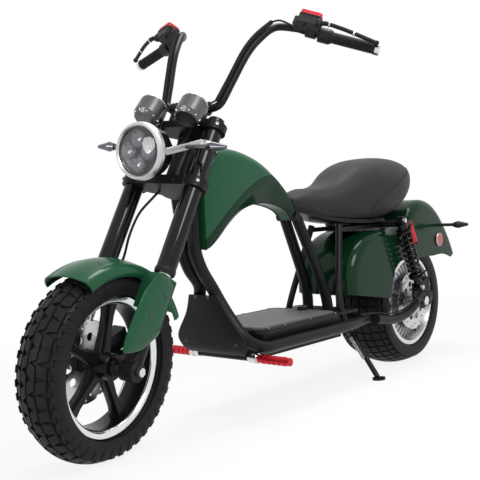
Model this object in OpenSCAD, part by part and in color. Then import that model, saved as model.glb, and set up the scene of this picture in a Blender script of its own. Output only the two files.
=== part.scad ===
// Electric chopper scooter, leaning on its side stand. X forward, Y to the rider's left, Z up, millimetres.

/* [Stance] */
// Lean to the left on the side stand, degrees
lean = 4; // [2:0.5:6]
// Bars turned to the left at rest, degrees
rest_steer = 9; // [0:1:15]
// Shift of the origin along the scooter, to the middle of its length
origin_x = 654.5; // [600:0.5:720]
// Shift of the origin sideways, to the middle of its width
origin_y = 56.5; // [0:0.5:100]

/* [Wheels] */
// Distance between the axles
wheelbase = 1420; // [1380:5:1460]
// Front tyre radius at the tips of its tread
front_tyre_r = 243; // [238:1:248]
// Front tyre width
front_tyre_w = 124; // [116:1:128]
// Radius of the front tyre's crown, across the tread
front_crown_r = 74; // [70:1:90]
// Height of the front tyre's sidewall over the rim
front_side_h = 66; // [60:1:72]
// Front rim width over its lips
front_rim_w = 88; // [80:1:96]
// Rear tyre radius
rear_tyre_r = 238; // [232:1:244]
// Rear tyre width
rear_tyre_w = 206; // [196:1:210]
// Radius of the rear tyre's crown, across the tread
rear_crown_r = 190; // [150:5:260]
// Height of the rear tyre's sidewall over the rim
rear_side_h = 73; // [66:1:80]
// Rear rim width over its lips
rear_rim_w = 190; // [180:1:194]
// Axle shaft radius at the front
front_axle_r = 7.5; // [6:0.5:9]
// Axle shaft radius at the rear
rear_axle_r = 10; // [8:0.5:12]
// Radial running clearance of a hub on its axle
run_gap = 0.08; // [0.05:0.01:0.1]
// Brake disc radius
disc_r = 108; // [98:1:112]
// Brake disc thickness
disc_t = 4; // [3:0.5:5]

/* [Fork] */
// Rake of the fork from upright, degrees
rake = 29.7; // [27:0.1:32]
// Distance of each fork leg from the middle
leg_y = 100; // [96:1:106]
// Distance of the steering axis behind the legs
stem_offset = 35; // [30:1:40]
// Outer fork tube radius
tube_r = 26; // [23:0.5:27]
// Inner slider radius
slider_r = 19; // [16:0.5:21]
// Height of the outer tubes' lower ends above the axle, along the fork
tube_low = 259; // [245:1:270]
// Height of the outer tubes' tops above the axle, along the fork
tube_top = 706; // [696:1:716]
// Underside of the lower clamp, along the fork
lower_clamp_z = 500; // [490:1:508]
// Thickness of the lower clamp
lower_clamp_t = 28; // [22:1:30]
// Underside of the upper clamp, along the fork
upper_clamp_z = 676; // [668:1:680]
// Thickness of the upper clamp
upper_clamp_t = 22; // [18:1:24]
// Radius of the steering head tube
head_r = 28; // [24:0.5:30]

/* [Bars] */
// Handlebar tube diameter
bar_d = 22; // [20:0.5:24]
// Height of the bar in its clamps, along the fork
bar_z = 752; // [744:1:760]
// Distance of each bar clamp from the middle
bar_clamp_y = 46; // [40:1:50]
// Grip radius
grip_r = 16.5; // [15:0.5:18]
// Headlamp bezel radius
lamp_r = 76; // [70:1:80]

/* [Deck] */
// Height of the deck's top face
deck_z = 268; // [264:1:272]
// Half width of the deck
deck_half_w = 140; // [134:1:144]
// Distance of the deck's front edge behind the front axle
deck_back = 475; // [465:1:490]
// Rear edge of the deck
deck_rear = 532; // [528:1:545]
// Thickness of the deck board
deck_t = 12; // [8:1:14]
// Thickness of the rubber mat
mat_t = 4; // [3:0.5:6]
// Underside of the battery box
box_low = 181; // [175:1:186]
// Wall of the battery box
box_wall = 3; // [2:0.5:5]

/* [Body] */
// Wall of the rear fender
fender_t = 4; // [3:0.5:6]
// Half width of the rear fender
fender_half_w = 119; // [117:0.5:122]
// Gap between the front tyre and the crown of its fender, with the wall
front_fender_gap = 25; // [20:1:30]
// Half width of the front fender
front_fender_half_w = 76; // [74:0.5:80]
// Distance of each rear shock from the middle
shock_y = 152; // [150:1:158]
// Outer radius of the shock springs
spring_r = 26; // [23:0.5:27]
// Diameter of the spring wire
wire_d = 9; // [7:0.5:10]

/* [Hidden] */
$fn = 64;
eps = 0.01;
seat_gap = 0.3;
front_axle_z = 243;
rear_axle_z = 238;
front_lip_r = front_tyre_r - front_side_h;
rear_lip_r = rear_tyre_r - rear_side_h;
front_fender_r = front_tyre_r + front_fender_gap;
deck_front = wheelbase - deck_back;
// How far the front of the scooter moves with the wheelbase it was laid out for
laid_out = 1420;
reach = wheelbase - laid_out;
frame_black = "#151515";
paint_green = "#1f4a2c";
polished = "#c9ccd0";
rubber = "#1c1c1d";
anodised_red = "#b3202a";
satin_grey = "#6d7074";
clear_lens = "#e6eef2";

// Rotations of a point about X, Y and Z
function turn_x(p, a) = [p.x, p.y * cos(a) - p.z * sin(a), p.y * sin(a) + p.z * cos(a)];
function turn_y(p, a) = [p.x * cos(a) + p.z * sin(a), p.y, p.z * cos(a) - p.x * sin(a)];
function turn_z(p, a) = [p.x * cos(a) - p.y * sin(a), p.x * sin(a) + p.y * cos(a), p.z];
function unit(v) = v / norm(v);

// From the fork's frame to the upright scooter; the fork's origin is at the straight-ahead axle, Z up the legs
stem_shift = [stem_offset, 0, 0];
axle_at = [wheelbase, 0, front_axle_z];
function steered(p) = axle_at + turn_y(turn_z(p + stem_shift, rest_steer) - stem_shift, -rake);
function steered_dir(v) = turn_y(turn_z(v, rest_steer), -rake);

// Lowest point of a leaning wheel: its crown is a ring of the crown's radius
function wheel_low(centre, axle, r, crown) =
    turn_x(centre, -lean).z - (r - crown) * sqrt(1 - pow(turn_x(axle, -lean).z, 2)) - crown;
rear_low = wheel_low([0, 0, rear_axle_z], [0, 1, 0], rear_tyre_r, rear_crown_r);
front_low = wheel_low(steered([0, 0, 0]), steered_dir([0, 1, 0]), front_tyre_r, front_crown_r);
// Small pitch and lift that set both tyres on the floor
pitch = atan((front_low - rear_low) / wheelbase);
lift = -rear_low;

// From the upright scooter to the parked one, and back
function parked(p) = turn_y(turn_x(p, -lean), pitch) + [-origin_x, -origin_y, lift];
function unparked(p) = turn_x(turn_y(p - [-origin_x, -origin_y, lift], -pitch), lean);

module bike() {
    translate([-origin_x, -origin_y, lift]) rotate([0, pitch, 0]) rotate([-lean, 0, 0]) children();
}

module fork() {
    bike() translate(axle_at) rotate([0, -rake, 0])
        translate(-stem_shift) rotate([0, 0, rest_steer]) translate(stem_shift) children();
}

module front_wheel() { fork() rotate([-90, 0, 0]) children(); }

module rear_wheel() { bike() translate([0, 0, rear_axle_z]) rotate([-90, 0, 0]) children(); }

// Copies on the left and the right
module both() {
    children();
    mirror([0, 1, 0]) children();
}

// Smooth route through a few points, with n steps between each two
function curve(p, n) = concat(
    [for (i = [0:len(p) - 2]) for (k = [0:n - 1])
        let (a = p[max(i - 1, 0)], b = p[i], c = p[i + 1], d = p[min(i + 2, len(p) - 1)], t = k / n)
        (2 * b + (c - a) * t + (2 * a - 5 * b + 4 * c - d) * t * t
            + (3 * b - a - 3 * c + d) * t * t * t) / 2],
    [p[len(p) - 1]]);
function mirror_y(p) = [p.x, -p.y, p.z];
function heading(p, i) = unit(p[min(i + 1, len(p) - 1)] - p[max(i - 1, 0)]);

// Closed solid through rings of points that all have the same count. The ends of a thin shell are strips
// between its outer points, listed first, and its inner points, listed back again
module skin(rings, shell = false) {
    n = len(rings[0]);
    m = len(rings);
    cap = shell ? [for (j = [0:n / 2 - 2]) [j, j + 1, n - 2 - j, n - 1 - j]] : [[for (j = [0:n - 1]) j]];
    polyhedron(
        points = [for (r = rings) each r],
        faces = concat(
            cap,
            [for (i = [0:m - 2]) for (j = [0:n - 1]) [i * n + j, (i + 1) * n + j,
            (i + 1) * n + (j + 1) % n]],
            [for (i = [0:m - 2]) for (j = [0:n - 1]) [i * n + j, (i + 1) * n + (j + 1) % n,
            i * n + (j + 1) % n]],
            [for (f = cap) [for (k = [len(f) - 1:-1:0]) (m - 1) * n + f[k]]]));
}

// Round tube along a route: side is a direction that the route never runs along
module tube(route, d, side = [1, 0, 0], sides = 12) {
    skin([for (i = [0:len(route) - 1])
        let (t = heading(route, i), u = unit(cross(t, side)), v = cross(t, u))
        [for (k = [0:sides - 1]) route[i]
        + d / 2 * (u * cos(k * 360 / sides) - v * sin(k * 360 / sides))]]);
}

// Straight rod between two points
module rod(a, b, d) {
    v = b - a;
    translate(a) rotate([0, acos(v.z / norm(v)), atan2(v.y, v.x)]) cylinder(d = d, h = norm(v));
}

// Welded pipe: short runs along a route, each the hull of two balls
module pipe(route, d) {
    for (i = [0:len(route) - 2]) hull() for (p = [route[i], route[i + 1]]) translate(p)
        sphere(d = d, $fn = 12);
}

// Plate outline with round corners
module round_rect(l, w, r) {
    square([l - 2 * r, w], center = true);
    square([l, w - 2 * r], center = true);
    for (x = [-1, 1], y = [-1, 1]) translate([x * (l / 2 - r), y * (w / 2 - r)]) circle(r);
}

// Frame: tubes by route, each a list of points on the left side
frame_d = 36;
strut_d = 36;
stay_d = 22;
rail_y = 134;
rail_z = 214;
function ahead(p) = p + [reach, 0, 0];
down_route = [for (p = [
    [1066, 22, 742], [1088, 24, 664], [1081, 24, 590], [1079, 24, 508], [1056, 24, 448], [1016, 24, 392],
    [998, 60, 318], [982, 112, 246], [930, rail_y, rail_z + 2], [860, rail_y, rail_z]]) ahead(p)];
rail_route = [[500, rail_y, rail_z], [410, 122, rail_z], [330, 104, rail_z]];
pivot_at = [330, 0, rail_z];
pivot_half = 125.6;
strut_route = [[598, 24, 570], [472, 36, 326], [464, 44, 222]];
strut_top = [610.4, 26, 577.2];
strut_low = [464, 112, 218];
cross_d = 28;
stay_route = [[404, 56, 538.3], [488, 98, 290], [486, 118, 226]];
bar_from = [408, 58, 523.6];
bar_to = [118, 58, 523.6];
bar_t = 15;
shock_bar_z = 528;
peg_at = ahead([949, 0, 186]);
peg_in = 96;
stand_pivot = [338, 34, 170];
stand_plate_t = 8;

module head_tube() {
    translate(axle_at) rotate([0, -rake, 0])
        translate([-stem_offset, 0, lower_clamp_z + lower_clamp_t + 0.5])
        cylinder(r = head_r, h = upper_clamp_z - lower_clamp_z - lower_clamp_t - 1);
}

module main_frame() {
    $fn = 32;
    color(frame_black) bike() {
        head_tube();
        both() {
            pipe(concat(curve(down_route, 2), rail_route), frame_d);
            pipe(strut_route, strut_d);
            pipe(stay_route, stay_d);
            pipe([peg_at + [0, 74, 0], peg_at + [23, 108, 40]], 16);
            translate((bar_from + bar_to) / 2) cube([bar_from.x - bar_to.x, 18, bar_t], center = true);
        }
        pipe([strut_top, mirror_y(strut_top)], cross_d);
        pipe([strut_low, mirror_y(strut_low)], cross_d);
        pipe([peg_at - [0, peg_in - 10.5, 0], peg_at + [0, peg_in - 10.5, 0]], 20);
        pipe([pivot_at - [0, pivot_half - 14, 0], pivot_at + [0, pivot_half - 14, 0]], 28);
        pipe([[shock_top.x, 26.4 - shock_y, shock_bar_z], [shock_top.x, shock_y - 26.4, shock_bar_z]], 20);
        translate(stand_pivot + [-4, -12, 16]) cube([28, stand_plate_t, 64], center = true);
        translate(stand_pivot + [0, -12, 0]) rotate([90, 0, 0])
            cylinder(r = 14.5, h = stand_plate_t, center = true);
    }
}

// Nose cover ahead of the down tubes, by stations from its top:
// [outer x, outer z, half width, inner x, inner z]
nose_stations = [
    [1038, 372, 54, 1029.6, 372], [1026, 318, 80, 1017.8, 318], [1016, 250, 127, 1008, 251],
    [1006, 214, 120, 998, 218],
    [990, 196, 110, 986, 203]
];

module nose_plate() {
    color(frame_black) bike() translate([reach, 0, 0]) skin([for (s = nose_stations)
        [[s[0], -s[2], s[1]], [s[0], s[2], s[1]], [s[3], s[2], s[4]], [s[3], -s[2], s[4]]]]);
}

// Battery box under the deck, open at the top, with the battery inside it
box_rear = 500;
box_front = deck_front - 31;
box_half_w = 116.1;
box_top = deck_z - mat_t - deck_t - seat_gap;
box_l = box_front - box_rear;
box_mid = (box_front + box_rear) / 2;

module battery_box() {
    color(frame_black) bike() difference() {
        translate([box_mid, 0, box_low]) linear_extrude(box_top - box_low)
            round_rect(box_l, 2 * box_half_w, 12);
        translate([box_mid, 0, box_low + box_wall]) linear_extrude(box_top - box_low)
            round_rect(box_l - 2 * box_wall, 2 * (box_half_w - box_wall), 9);
    }
}

battery_l = box_l - 54;
battery_w = 190;
battery_h = 62;

module battery() {
    color(satin_grey) bike() translate([box_mid, 0, box_low + box_wall + seat_gap])
        linear_extrude(battery_h)
        round_rect(battery_l, battery_w, 4);
}

// Deck board with its lock, and the mat on it
deck_l = deck_front - deck_rear;
deck_mid = (deck_front + deck_rear) / 2;
lock_at = [556, 0];
lock_r = 17;

module deck() {
    color(frame_black) bike() {
        translate([deck_mid, 0, deck_z - mat_t - deck_t]) linear_extrude(deck_t)
            round_rect(deck_l, 2 * deck_half_w, 40);
        translate([lock_at.x, lock_at.y, deck_z - mat_t - eps]) cylinder(r = lock_r, h = mat_t + 12);
    }
}

module deck_mat() {
    color("#3c3c40") bike() difference() {
        translate([deck_mid, 0, deck_z - mat_t]) linear_extrude(mat_t)
            round_rect(deck_l - 24, 2 * deck_half_w - 24, 30);
        translate([lock_at.x, lock_at.y, deck_z - mat_t - 1]) cylinder(r = lock_r + 1, h = mat_t + 2);
    }
}

// Panel behind the deck, with holes for the struts and stays that pass through it
panel_rear = 402;
panel_t = 8;
panel_half_w = 126;
panel_z = box_top + seat_gap;
strut_hole = [466.6, 41.4];
stay_hole = [487, 107.5];

module rear_panel() {
    panel_l = deck_rear - 0.5 - panel_rear;
    color(frame_black) bike() difference() {
        translate([panel_rear + panel_l / 2, 0, panel_z]) linear_extrude(panel_t)
            round_rect(panel_l, 2 * panel_half_w, 20);
        both() {
            translate([strut_hole.x, strut_hole.y, panel_z - 1])
                cylinder(d = strut_d + 1.6, h = panel_t + 2);
            translate([stay_hole.x, stay_hole.y, panel_z - 1]) cylinder(d = stay_d + 5, h = panel_t + 2);
        }
    }
}

// Tank shell by stations: [x, low z, crease z, top z, half width, half width of the underside]
tank_stations = [
    [1059.4, 503, 508, 690, 52, 46], [1034, 513, 530, 748, 57, 46], [1000, 535, 560, 783, 60, 44],
    [950, 574, 600, 787, 62, 42], [900, 604, 634, 781, 63, 40], [850, 620, 662, 768, 62, 37],
    [800, 626, 680, 749, 60, 34], [750, 624, 684, 722, 55, 31], [700, 614, 658, 688, 48, 28],
    [658, 598, 632, 650, 41, 25], [625, 568, 590, 600, 34, 22]
];
// The tank stretches with the wheelbase, from its tail
tank_tail = 625;
tank_span = 434.4;
function tank_x(x) = tank_tail + (x - tank_tail) * (tank_span + reach) / tank_span;
function tank_fit(s) = [tank_x(s[0]), s[1], s[2], s[3], s[4], s[5]];
function tank_half(s) =
    let (r = min(0.5 * s[4], 0.8 * (s[3] - s[2])))
    concat(
        [[s[5], s[1]], [s[4], s[2]]],
        [for (a = [0:22.5:90]) [s[4] - r + r * cos(a), s[3] - r + r * sin(a)]]);
function tank_ring(s) = let (h = tank_half(s), n = len(h)) concat(
    [for (p = h) [s[0], p.x, p.y]],
    [for (i = [n - 1:-1:0]) [s[0], -h[i].x, h[i].y]]);

module tank() { color(paint_green) bike() skin([for (s = tank_stations) tank_ring(tank_fit(s))]); }

// Strip along the tank's top by stations: [x, z]
strip_stations = [[996, 784], [950, 787], [900, 781], [860, 771]];
strip_half_w = 20;
strip_t = 3;

module tank_strip() {
    color(frame_black) bike() skin([for (s = strip_stations) let (x = tank_x(s.x), z = s.y + seat_gap)
        [[x, strip_half_w, z], [x, strip_half_w, z + strip_t],
         [x, -strip_half_w, z + strip_t], [x, -strip_half_w, z]]]);
}

// Saddle by stations: [x, low z, top z, half width]
seat_stations = [
    [634, 617, 646, 34], [622, 607, 659, 52], [560, 592, 664, 74], [480, 574, 665, 90],
    [400, 562, 684, 106],
    [320, 554, 728, 126], [240, 550, 758, 142], [160, 552, 771, 149], [100, 562, 775, 148],
    [44, 592, 771, 138],
    [2, 634, 752, 116], [-20, 668, 724, 78]
];
seat_sides = 24;
function seat_ring(s) = [for (k = [0:seat_sides - 1]) let (a = 360 * k / seat_sides, c = cos(a), q = sin(a))
    [s[0], s[3] * sign(c) * pow(abs(c), 0.8),
    (s[1] + s[2]) / 2 + (s[2] - s[1]) / 2 * sign(q) * pow(abs(q), 0.8)]];

module seat() { color(rubber) bike() skin([for (s = seat_stations) seat_ring(s)]); }

// Pan under the saddle, seated on the struts
pan_t = 12;
function pan_ring(s) = let (w = 0.6 * s[3], z = s[1] - seat_gap)
    [[s[0], w, z - pan_t], [s[0], w, z], [s[0], -w, z], [s[0], -w, z - pan_t]];

module seat_base() {
    color(frame_black) bike() skin([for (i = [1:7]) pan_ring(seat_stations[i])]);
}

// Rear fender by stations round the axle:
// [angle from straight ahead, outer radius, radius of the lower edge]
fender_stations = [
    [9, 438, 186], [20, 452, 186], [32, 436, 190], [45, 385, 198], [57, 322, 184], [69, 299, 166],
    [80, 302, 158],
    [90, 342, 155], [100, 376, 157], [110, 390, 165], [120, 389, 179], [134, 378, 215], [146, 374, 277],
    [154.5, 374, 322]
];
shoulder_r = 36;
function fender_edge(r, edge, w, s) = concat(
    [[edge, w]], [for (a = [0:22.5:90]) [r - s + s * sin(a), w - s + s * cos(a)]]);
function fender_wall(r, edge, w, s) = let (h = fender_edge(r, edge, w, s), n = len(h)) concat(
    h, [for (i = [n - 1:-1:0]) [h[i].x, -h[i].y]]);
function fender_ring(s) =
    let (out = fender_wall(s[1], s[2], fender_half_w, shoulder_r),
         in = fender_wall(s[1] - fender_t, s[2], fender_half_w - fender_t, shoulder_r - fender_t),
         n = len(in))
    [for (p = concat(out, [for (i = [n - 1:-1:0]) in[i]]))
        [p.x * cos(s[0]), p.y, rear_axle_z + p.x * sin(s[0])]];

signal_root = [-196, 0, 508];
signal_out = 240;

module rear_fender() {
    color(paint_green) bike() skin([for (s = fender_stations) fender_ring(s)], shell = true);
}

// Swingarm: bent arms from the pivot to the axle, with axle plates
arm_y = 142;
arm_route = [[330, arm_y, rail_z], [250, arm_y, 200], [182, arm_y, 197], [110, arm_y, 208],
    [44, arm_y, 234]];
plate_t = 12;
lug_t = 8;

module swingarm() {
    $fn = 32;
    color(frame_black) bike() both() {
        pipe(curve(arm_route, 2), 32);
        translate([0, arm_y, rear_axle_z]) rotate([90, 0, 0]) cylinder(r = 30, h = plate_t, center = true);
        translate([-8, arm_y, rear_axle_z - 2]) cube([108, plate_t, 36], center = true);
        translate([shock_low.x, shock_y - 13.4 - lug_t / 2, (arm_y + shock_low.z) / 2 + 52])
            cube([30, lug_t, 74], center = true);
    }
}

module rear_axle() {
    color(polished) rear_wheel() {
        cylinder(r = rear_axle_r, h = 2 * (arm_y - plate_t / 2 - seat_gap), center = true);
        for (s = [-1, 1]) translate([0, 0, s * (arm_y + plate_t / 2 + seat_gap + 6)])
            cylinder(r = 17, h = 12, center = true, $fn = 6);
    }
}

// Rear shocks: damper, spring and reservoir along one leaning line
shock_top = [153, shock_y, 540];
shock_low = [40, shock_y, 292];
shock_l = norm(shock_top - shock_low);
shock_tilt = atan((shock_top.x - shock_low.x) / (shock_top.z - shock_low.z));
spring_low = 52;
spring_high = shock_l - 44;
module on_shock() { bike() both() translate(shock_low) rotate([0, shock_tilt, 0]) children(); }

module shock_bodies() {
    color(frame_black) on_shock() {
        rotate([90, 0, 0]) cylinder(r = 14, h = 26, center = true);
        cylinder(r = 9, h = shock_l);
        translate([0, 0, 20]) cylinder(r = 14, h = spring_low - 26);
        translate([0, 0, spring_low - 8]) cylinder(r = spring_r + 1, h = 8 - seat_gap);
        translate([0, 0, spring_high + seat_gap]) cylinder(r = spring_r + 1, h = 8);
        translate([0, 0, spring_high + 8]) cylinder(r = 17, h = 26);
        translate([0, 0, shock_l]) rotate([90, 0, 0]) cylinder(r = 14, h = 26, center = true);
        translate([-24, 0, shock_l - 22]) cube([40, 22, 16], center = true);
    }
}

spring_turns = 8;
spring_steps = 12;

module shock_springs() {
    coil_r = spring_r - wire_d / 2;
    rise = spring_high - spring_low - wire_d;
    color("#222222") on_shock()
        tube([for (i = [0:spring_turns * spring_steps]) let (a = i * 360 / spring_steps)
            [coil_r * cos(a), coil_r * sin(a),
            spring_low + wire_d / 2 + rise * i / (spring_turns * spring_steps)]],
            wire_d, [0, 0, 1], 6);
}

reservoir_r = 14;
reservoir_l = 84;

module shock_reservoirs() {
    color(anodised_red) on_shock()
        translate([-spring_r - reservoir_r - 3, 0, shock_l - 30 - seat_gap - reservoir_l])
        cylinder(r = reservoir_r, h = reservoir_l);
}

// Rear caliper behind the axle, over the brake disc
rear_disc_y = 100;
caliper_at = [-86, 0, 30];

module rear_caliper() {
    color("#2a2a2c") bike() translate([0, rear_disc_y + disc_t / 2, rear_axle_z]) difference() {
        union() {
            translate(caliper_at) rotate([0, 19, 0]) cube([50, 34, 84], center = true);
            translate([-63, 18.8, 6]) cube([66, 30, 34], center = true);
        }
        rotate([90, 0, 0]) cylinder(r = disc_r + 3, h = disc_t + 4, center = true);
    }
}

rear_hose_route = [
    [-72, 113, 308.6], [-66, 113, 326], [-74, 122, 342], [-58, 139, 334], [-30, 152, 300], [10, 154, 273],
    [50, 151, 259], [110, 146, 232], [180, 143, 220], [250, 143, 221], [330, 134, 234], [400, 124, 236]
];

module rear_hose() { color(rubber) bike() tube(curve(rear_hose_route, 3), 7, [0, 1, 0], 8); }

// Tail lamp behind the fender, signals and reflectors on its sides
// on the flat between the fender's last two stations
last = len(fender_stations) - 1;
lamp_angle = (fender_stations[last][0] + fender_stations[last - 1][0]) / 2;
lamp_seat = fender_stations[last][1] * cos(fender_stations[last][0] - lamp_angle) + seat_gap;

module tail_lamp() {
    color(anodised_red) bike() translate([0, 0, rear_axle_z]) rotate([0, 90 - lamp_angle, 0])
        translate([0, 0, lamp_seat]) cylinder(r1 = 26, r2 = 22, h = 20);
}

module rear_signals() {
    color(frame_black) bike() both()
        translate([signal_root.x, fender_half_w + seat_gap, signal_root.z]) rotate([-90, 0, 0])
        signal_lamp(signal_out - fender_half_w - seat_gap);
}

// Slim turn signal on its stalk
module signal_lamp(l) {
    cylinder(r = 6, h = l - 40);
    translate([0, 0, l - 58]) cylinder(r1 = 9, r2 = 14, h = 18);
    translate([0, 0, l - 40]) cylinder(r1 = 14, r2 = 5, h = 40);
}

module side_reflectors() {
    color(anodised_red) bike() both() translate([-190, fender_half_w + seat_gap, 452])
        rotate([-90, 0, 0]) cylinder(r = 24, h = 7);
}

// Foot pegs and the clamps that carry them
peg_out = 241;
clamp_l = 36;

module peg_clamps() {
    color(polished) bike() both() translate(peg_at + [0, peg_in, 0]) rotate([-90, 0, 0]) {
        cylinder(r = 13, h = clamp_l);
        translate([0, 0, clamp_l * 0.6]) cylinder(r = 15, h = clamp_l * 0.25);
    }
}

module foot_pegs() {
    color(anodised_red) bike() both() translate(peg_at + [0, peg_in + clamp_l + seat_gap, 0])
        rotate([-90, 0, 0]) {
        cylinder(r = 11.5, h = peg_out - peg_in - clamp_l);
        for (i = [0:4]) translate([0, 0, 12 + i * 18]) cylinder(r = 13, h = 9);
    }
}

// Fork: clamps, legs, feet and axle, in the fork's own frame
clamp_wall = 9;
module clamp_outline(w) {
    for (s = [-1, 1]) translate([0, s * leg_y]) circle(tube_r + clamp_wall);
    translate([-stem_offset, 0]) circle(head_r + 3);
    polygon([[tube_r + 2, leg_y], [tube_r + 2, -leg_y], [-14, -leg_y], [-stem_offset - w, -head_r],
        [-stem_offset - w, head_r], [-14, leg_y]]);
}

module fork_clamp(z, t) {
    difference() {
        translate([0, 0, z]) linear_extrude(t) clamp_outline(6);
        for (s = [-1, 1]) translate([0, s * leg_y, z - 1]) cylinder(r = tube_r + 0.2, h = t + 2);
    }
}

module lower_clamp() { color(frame_black) fork() fork_clamp(lower_clamp_z, lower_clamp_t); }

gauge_at = [84, 70, 664];
gauge_r = 39;

module upper_clamp() {
    color(frame_black) fork() {
        fork_clamp(upper_clamp_z, upper_clamp_t);
        both() translate([tube_r - 6, gauge_at.y - 14, upper_clamp_z + 4]) cube([18.6, 28, 8]);
    }
}

module fork_tubes() {
    color("#101011") fork() both() translate([0, leg_y, 0]) {
        translate([0, 0, tube_low]) cylinder(r = tube_r, h = tube_top - tube_low);
        translate([0, 0, tube_low - seat_gap]) cylinder(r = tube_r - 2, h = 4);
        translate([0, 0, tube_top]) cylinder(r = tube_r - 4, h = 8);
        translate([0, 0, tube_top + 8]) cylinder(r = 12, h = 6, $fn = 6);
    }
}

foot_top = 84;

module fork_sliders() {
    color(polished) fork() both() translate([0, leg_y, foot_top])
        cylinder(r = slider_r, h = tube_low - foot_top - 2 * seat_gap);
}

module fork_feet() {
    color(frame_black) fork() both() translate([0, leg_y, 0]) difference() {
        union() {
            cylinder(r = slider_r + 4, h = foot_top - seat_gap);
            rotate([90, 0, 0]) cylinder(r = 27, h = 2 * (slider_r + 2), center = true);
        }
        rotate([90, 0, 0]) cylinder(r = front_axle_r + run_gap, h = 80, center = true);
    }
}

hub_half = 60;
foot_out = leg_y + slider_r + 2;
foot_wall = slider_r + 4;
front_disc_y = -46;

module front_axle() {
    color(polished) front_wheel() {
        cylinder(r = front_axle_r, h = 2 * foot_out + 20, center = true);
        for (s = [-1, 1]) {
            translate([0, 0, s * (hub_half + leg_y - foot_wall) / 2])
                cylinder(r = 13, h = leg_y - foot_wall - hub_half - 1, center = true);
            translate([0, 0, s * (leg_y + foot_wall + seat_gap + 6)])
                cylinder(r = 12, h = 12, center = true, $fn = 6);
        }
    }
}

// Front fender: a revolved shell over the tyre, with guards that cover the fork's lower legs
fender_from = 62;
fender_to = 157;
front_wall = 4;
module fender_profile(r, w) {
    polygon(concat(
        [[r - 38, w]], [for (a = [90:-15:0]) [r - 34 + 26 * cos(a), w - 26 + 26 * sin(a)]],
        [for (a = [4:-1:-4]) [r - 0.5 * a * a, 12 * a]],
        [for (a = [0:-15:-90]) [r - 34 + 26 * cos(a), -w + 26 + 26 * sin(a)]], [[r - 38, -w]]));
}

guard_y = leg_y + slider_r + 4 + seat_gap;
guard_t = 5;
guard_outline = [
    [-26, 246], [44, 247], [78, 186], [86, 130], [90, 60], [84, 22], [70, 22], [20, 48], [-26, 106]
];

module front_fender() {
    color(paint_green) fork() {
        rotate([90, 0, 0]) rotate([0, 0, fender_from - rake])
            rotate_extrude(angle = fender_to - fender_from) difference() {
                fender_profile(front_fender_r, front_fender_half_w);
                fender_profile(front_fender_r - front_wall, front_fender_half_w - front_wall);
            }
        both() {
            translate([0, guard_y + guard_t, 0]) rotate([90, 0, 0]) linear_extrude(guard_t)
                polygon(guard_outline);
            translate([slider_r + 16, front_fender_half_w - 3, 150])
                cube([8, guard_y - front_fender_half_w + 5, 94]);
        }
    }
}

// Front caliper on the right leg, behind it, over the disc
module front_caliper() {
    color("#2a2a2c") fork() translate([0, front_disc_y - disc_t / 2, 0]) difference() {
        union() {
            translate([-66, 0, 78]) rotate([0, -40, 0]) cube([48, 40, 86], center = true);
            translate([-36, -23.3, 62]) cube([88, 10.6, 40], center = true);
        }
        rotate([90, 0, 0]) cylinder(r = disc_r + 3, h = disc_t + 4, center = true);
    }
}

front_hose_route = [
    [-14, -20, 499.4], [-6, -30, 470], [0, -50, 420], [-8, -63, 360], [-30, -76, 310], [-40, -86, 270],
    [-42, -92, 200], [-54, -93, 140], [-66, -86, 100], [-70, -68.7, 84]
];

module front_hose() { color(rubber) fork() tube(curve(front_hose_route, 3), 7, [1, 0, 0], 8); }

// Headlamp: its axis is level when the fork points straight ahead
lamp_at = [136, 0, 535];
module headlamp() { fork() translate(lamp_at) rotate([0, rake + 90, 0]) children(); }

module headlamp_bucket() {
    color(frame_black) headlamp() rotate_extrude() polygon([
        [0, -96], [26, -94], [50, -80], [66, -54], [lamp_r - 6, -24], [lamp_r - 6, -12.3], [0, -12.3]]);
}

module headlamp_bezel() {
    color(polished) headlamp() rotate_extrude() polygon([
        [lamp_r - 12, -12], [lamp_r, -12], [lamp_r, -2], [lamp_r - 3, 6], [lamp_r - 9, 9],
        [lamp_r - 12, 5]]);
}

module headlamp_lens() {
    color(clear_lens) headlamp() rotate_extrude() polygon([
        [0, -12], [lamp_r - 12.3, -12], [lamp_r - 12.3, 2], [44, 9], [22, 12], [0, 13]]);
}

stay_z = 625;

module headlamp_stays() {
    color(polished) fork() both() {
        difference() {
            union() {
                translate([0, leg_y, stay_z - 9]) cylinder(r = tube_r + 5, h = 18);
                hull() {
                    translate([30, leg_y, stay_z]) rotate([90, 0, 0])
                        cylinder(r = 9, h = 6, center = true, $fn = 24);
                    translate([118, lamp_r - 2.6, 545]) rotate([90, 0, 0])
                        cylinder(r = 9, h = 6, center = true, $fn = 24);
                }
            }
            translate([0, leg_y, stay_z - 40]) cylinder(r = tube_r + 0.2, h = 80);
        }
    }
}

module front_signals() {
    color(frame_black) fork() both() translate([70, 93.9, 588]) rotate([-90, 0, 0]) signal_lamp(120);
}

// Gauge pods ahead of the upper clamp
module gauge_pods() {
    color(satin_grey) fork() both() translate(gauge_at) rotate([0, -12, 0]) {
        cylinder(r1 = gauge_r - 8, r2 = gauge_r, h = 12);
        translate([0, 0, 12]) cylinder(r = gauge_r, h = 44);
        translate([0, 0, 56]) cylinder(r1 = gauge_r, r2 = gauge_r - 5, h = 6);
    }
}

// Handlebar and what is on it: the route of the left half, from the middle to the grip's end
grip_from = [-89, 225, 1073];
grip_to = [-172, 420, 1056];
grip_dir = unit(grip_to - grip_from);
grip_l = norm(grip_to - grip_from);
grip_down = acos(grip_dir.z);
grip_back = atan2(grip_dir.y, grip_dir.x);
bend_route = [
    [0, 64, bar_z], [-2, 92, bar_z + 18], [0, 108, 840], [2, 126, 925], [-8, 142, 985], [-34, 164, 1046],
    [-78, 199, 1075], grip_from
];
bar_half = concat(curve(bend_route, 3), [grip_to]);
bar_route = concat([for (i = [len(bar_half) - 1:-1:0]) mirror_y(bar_half[i])], bar_half);

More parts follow.
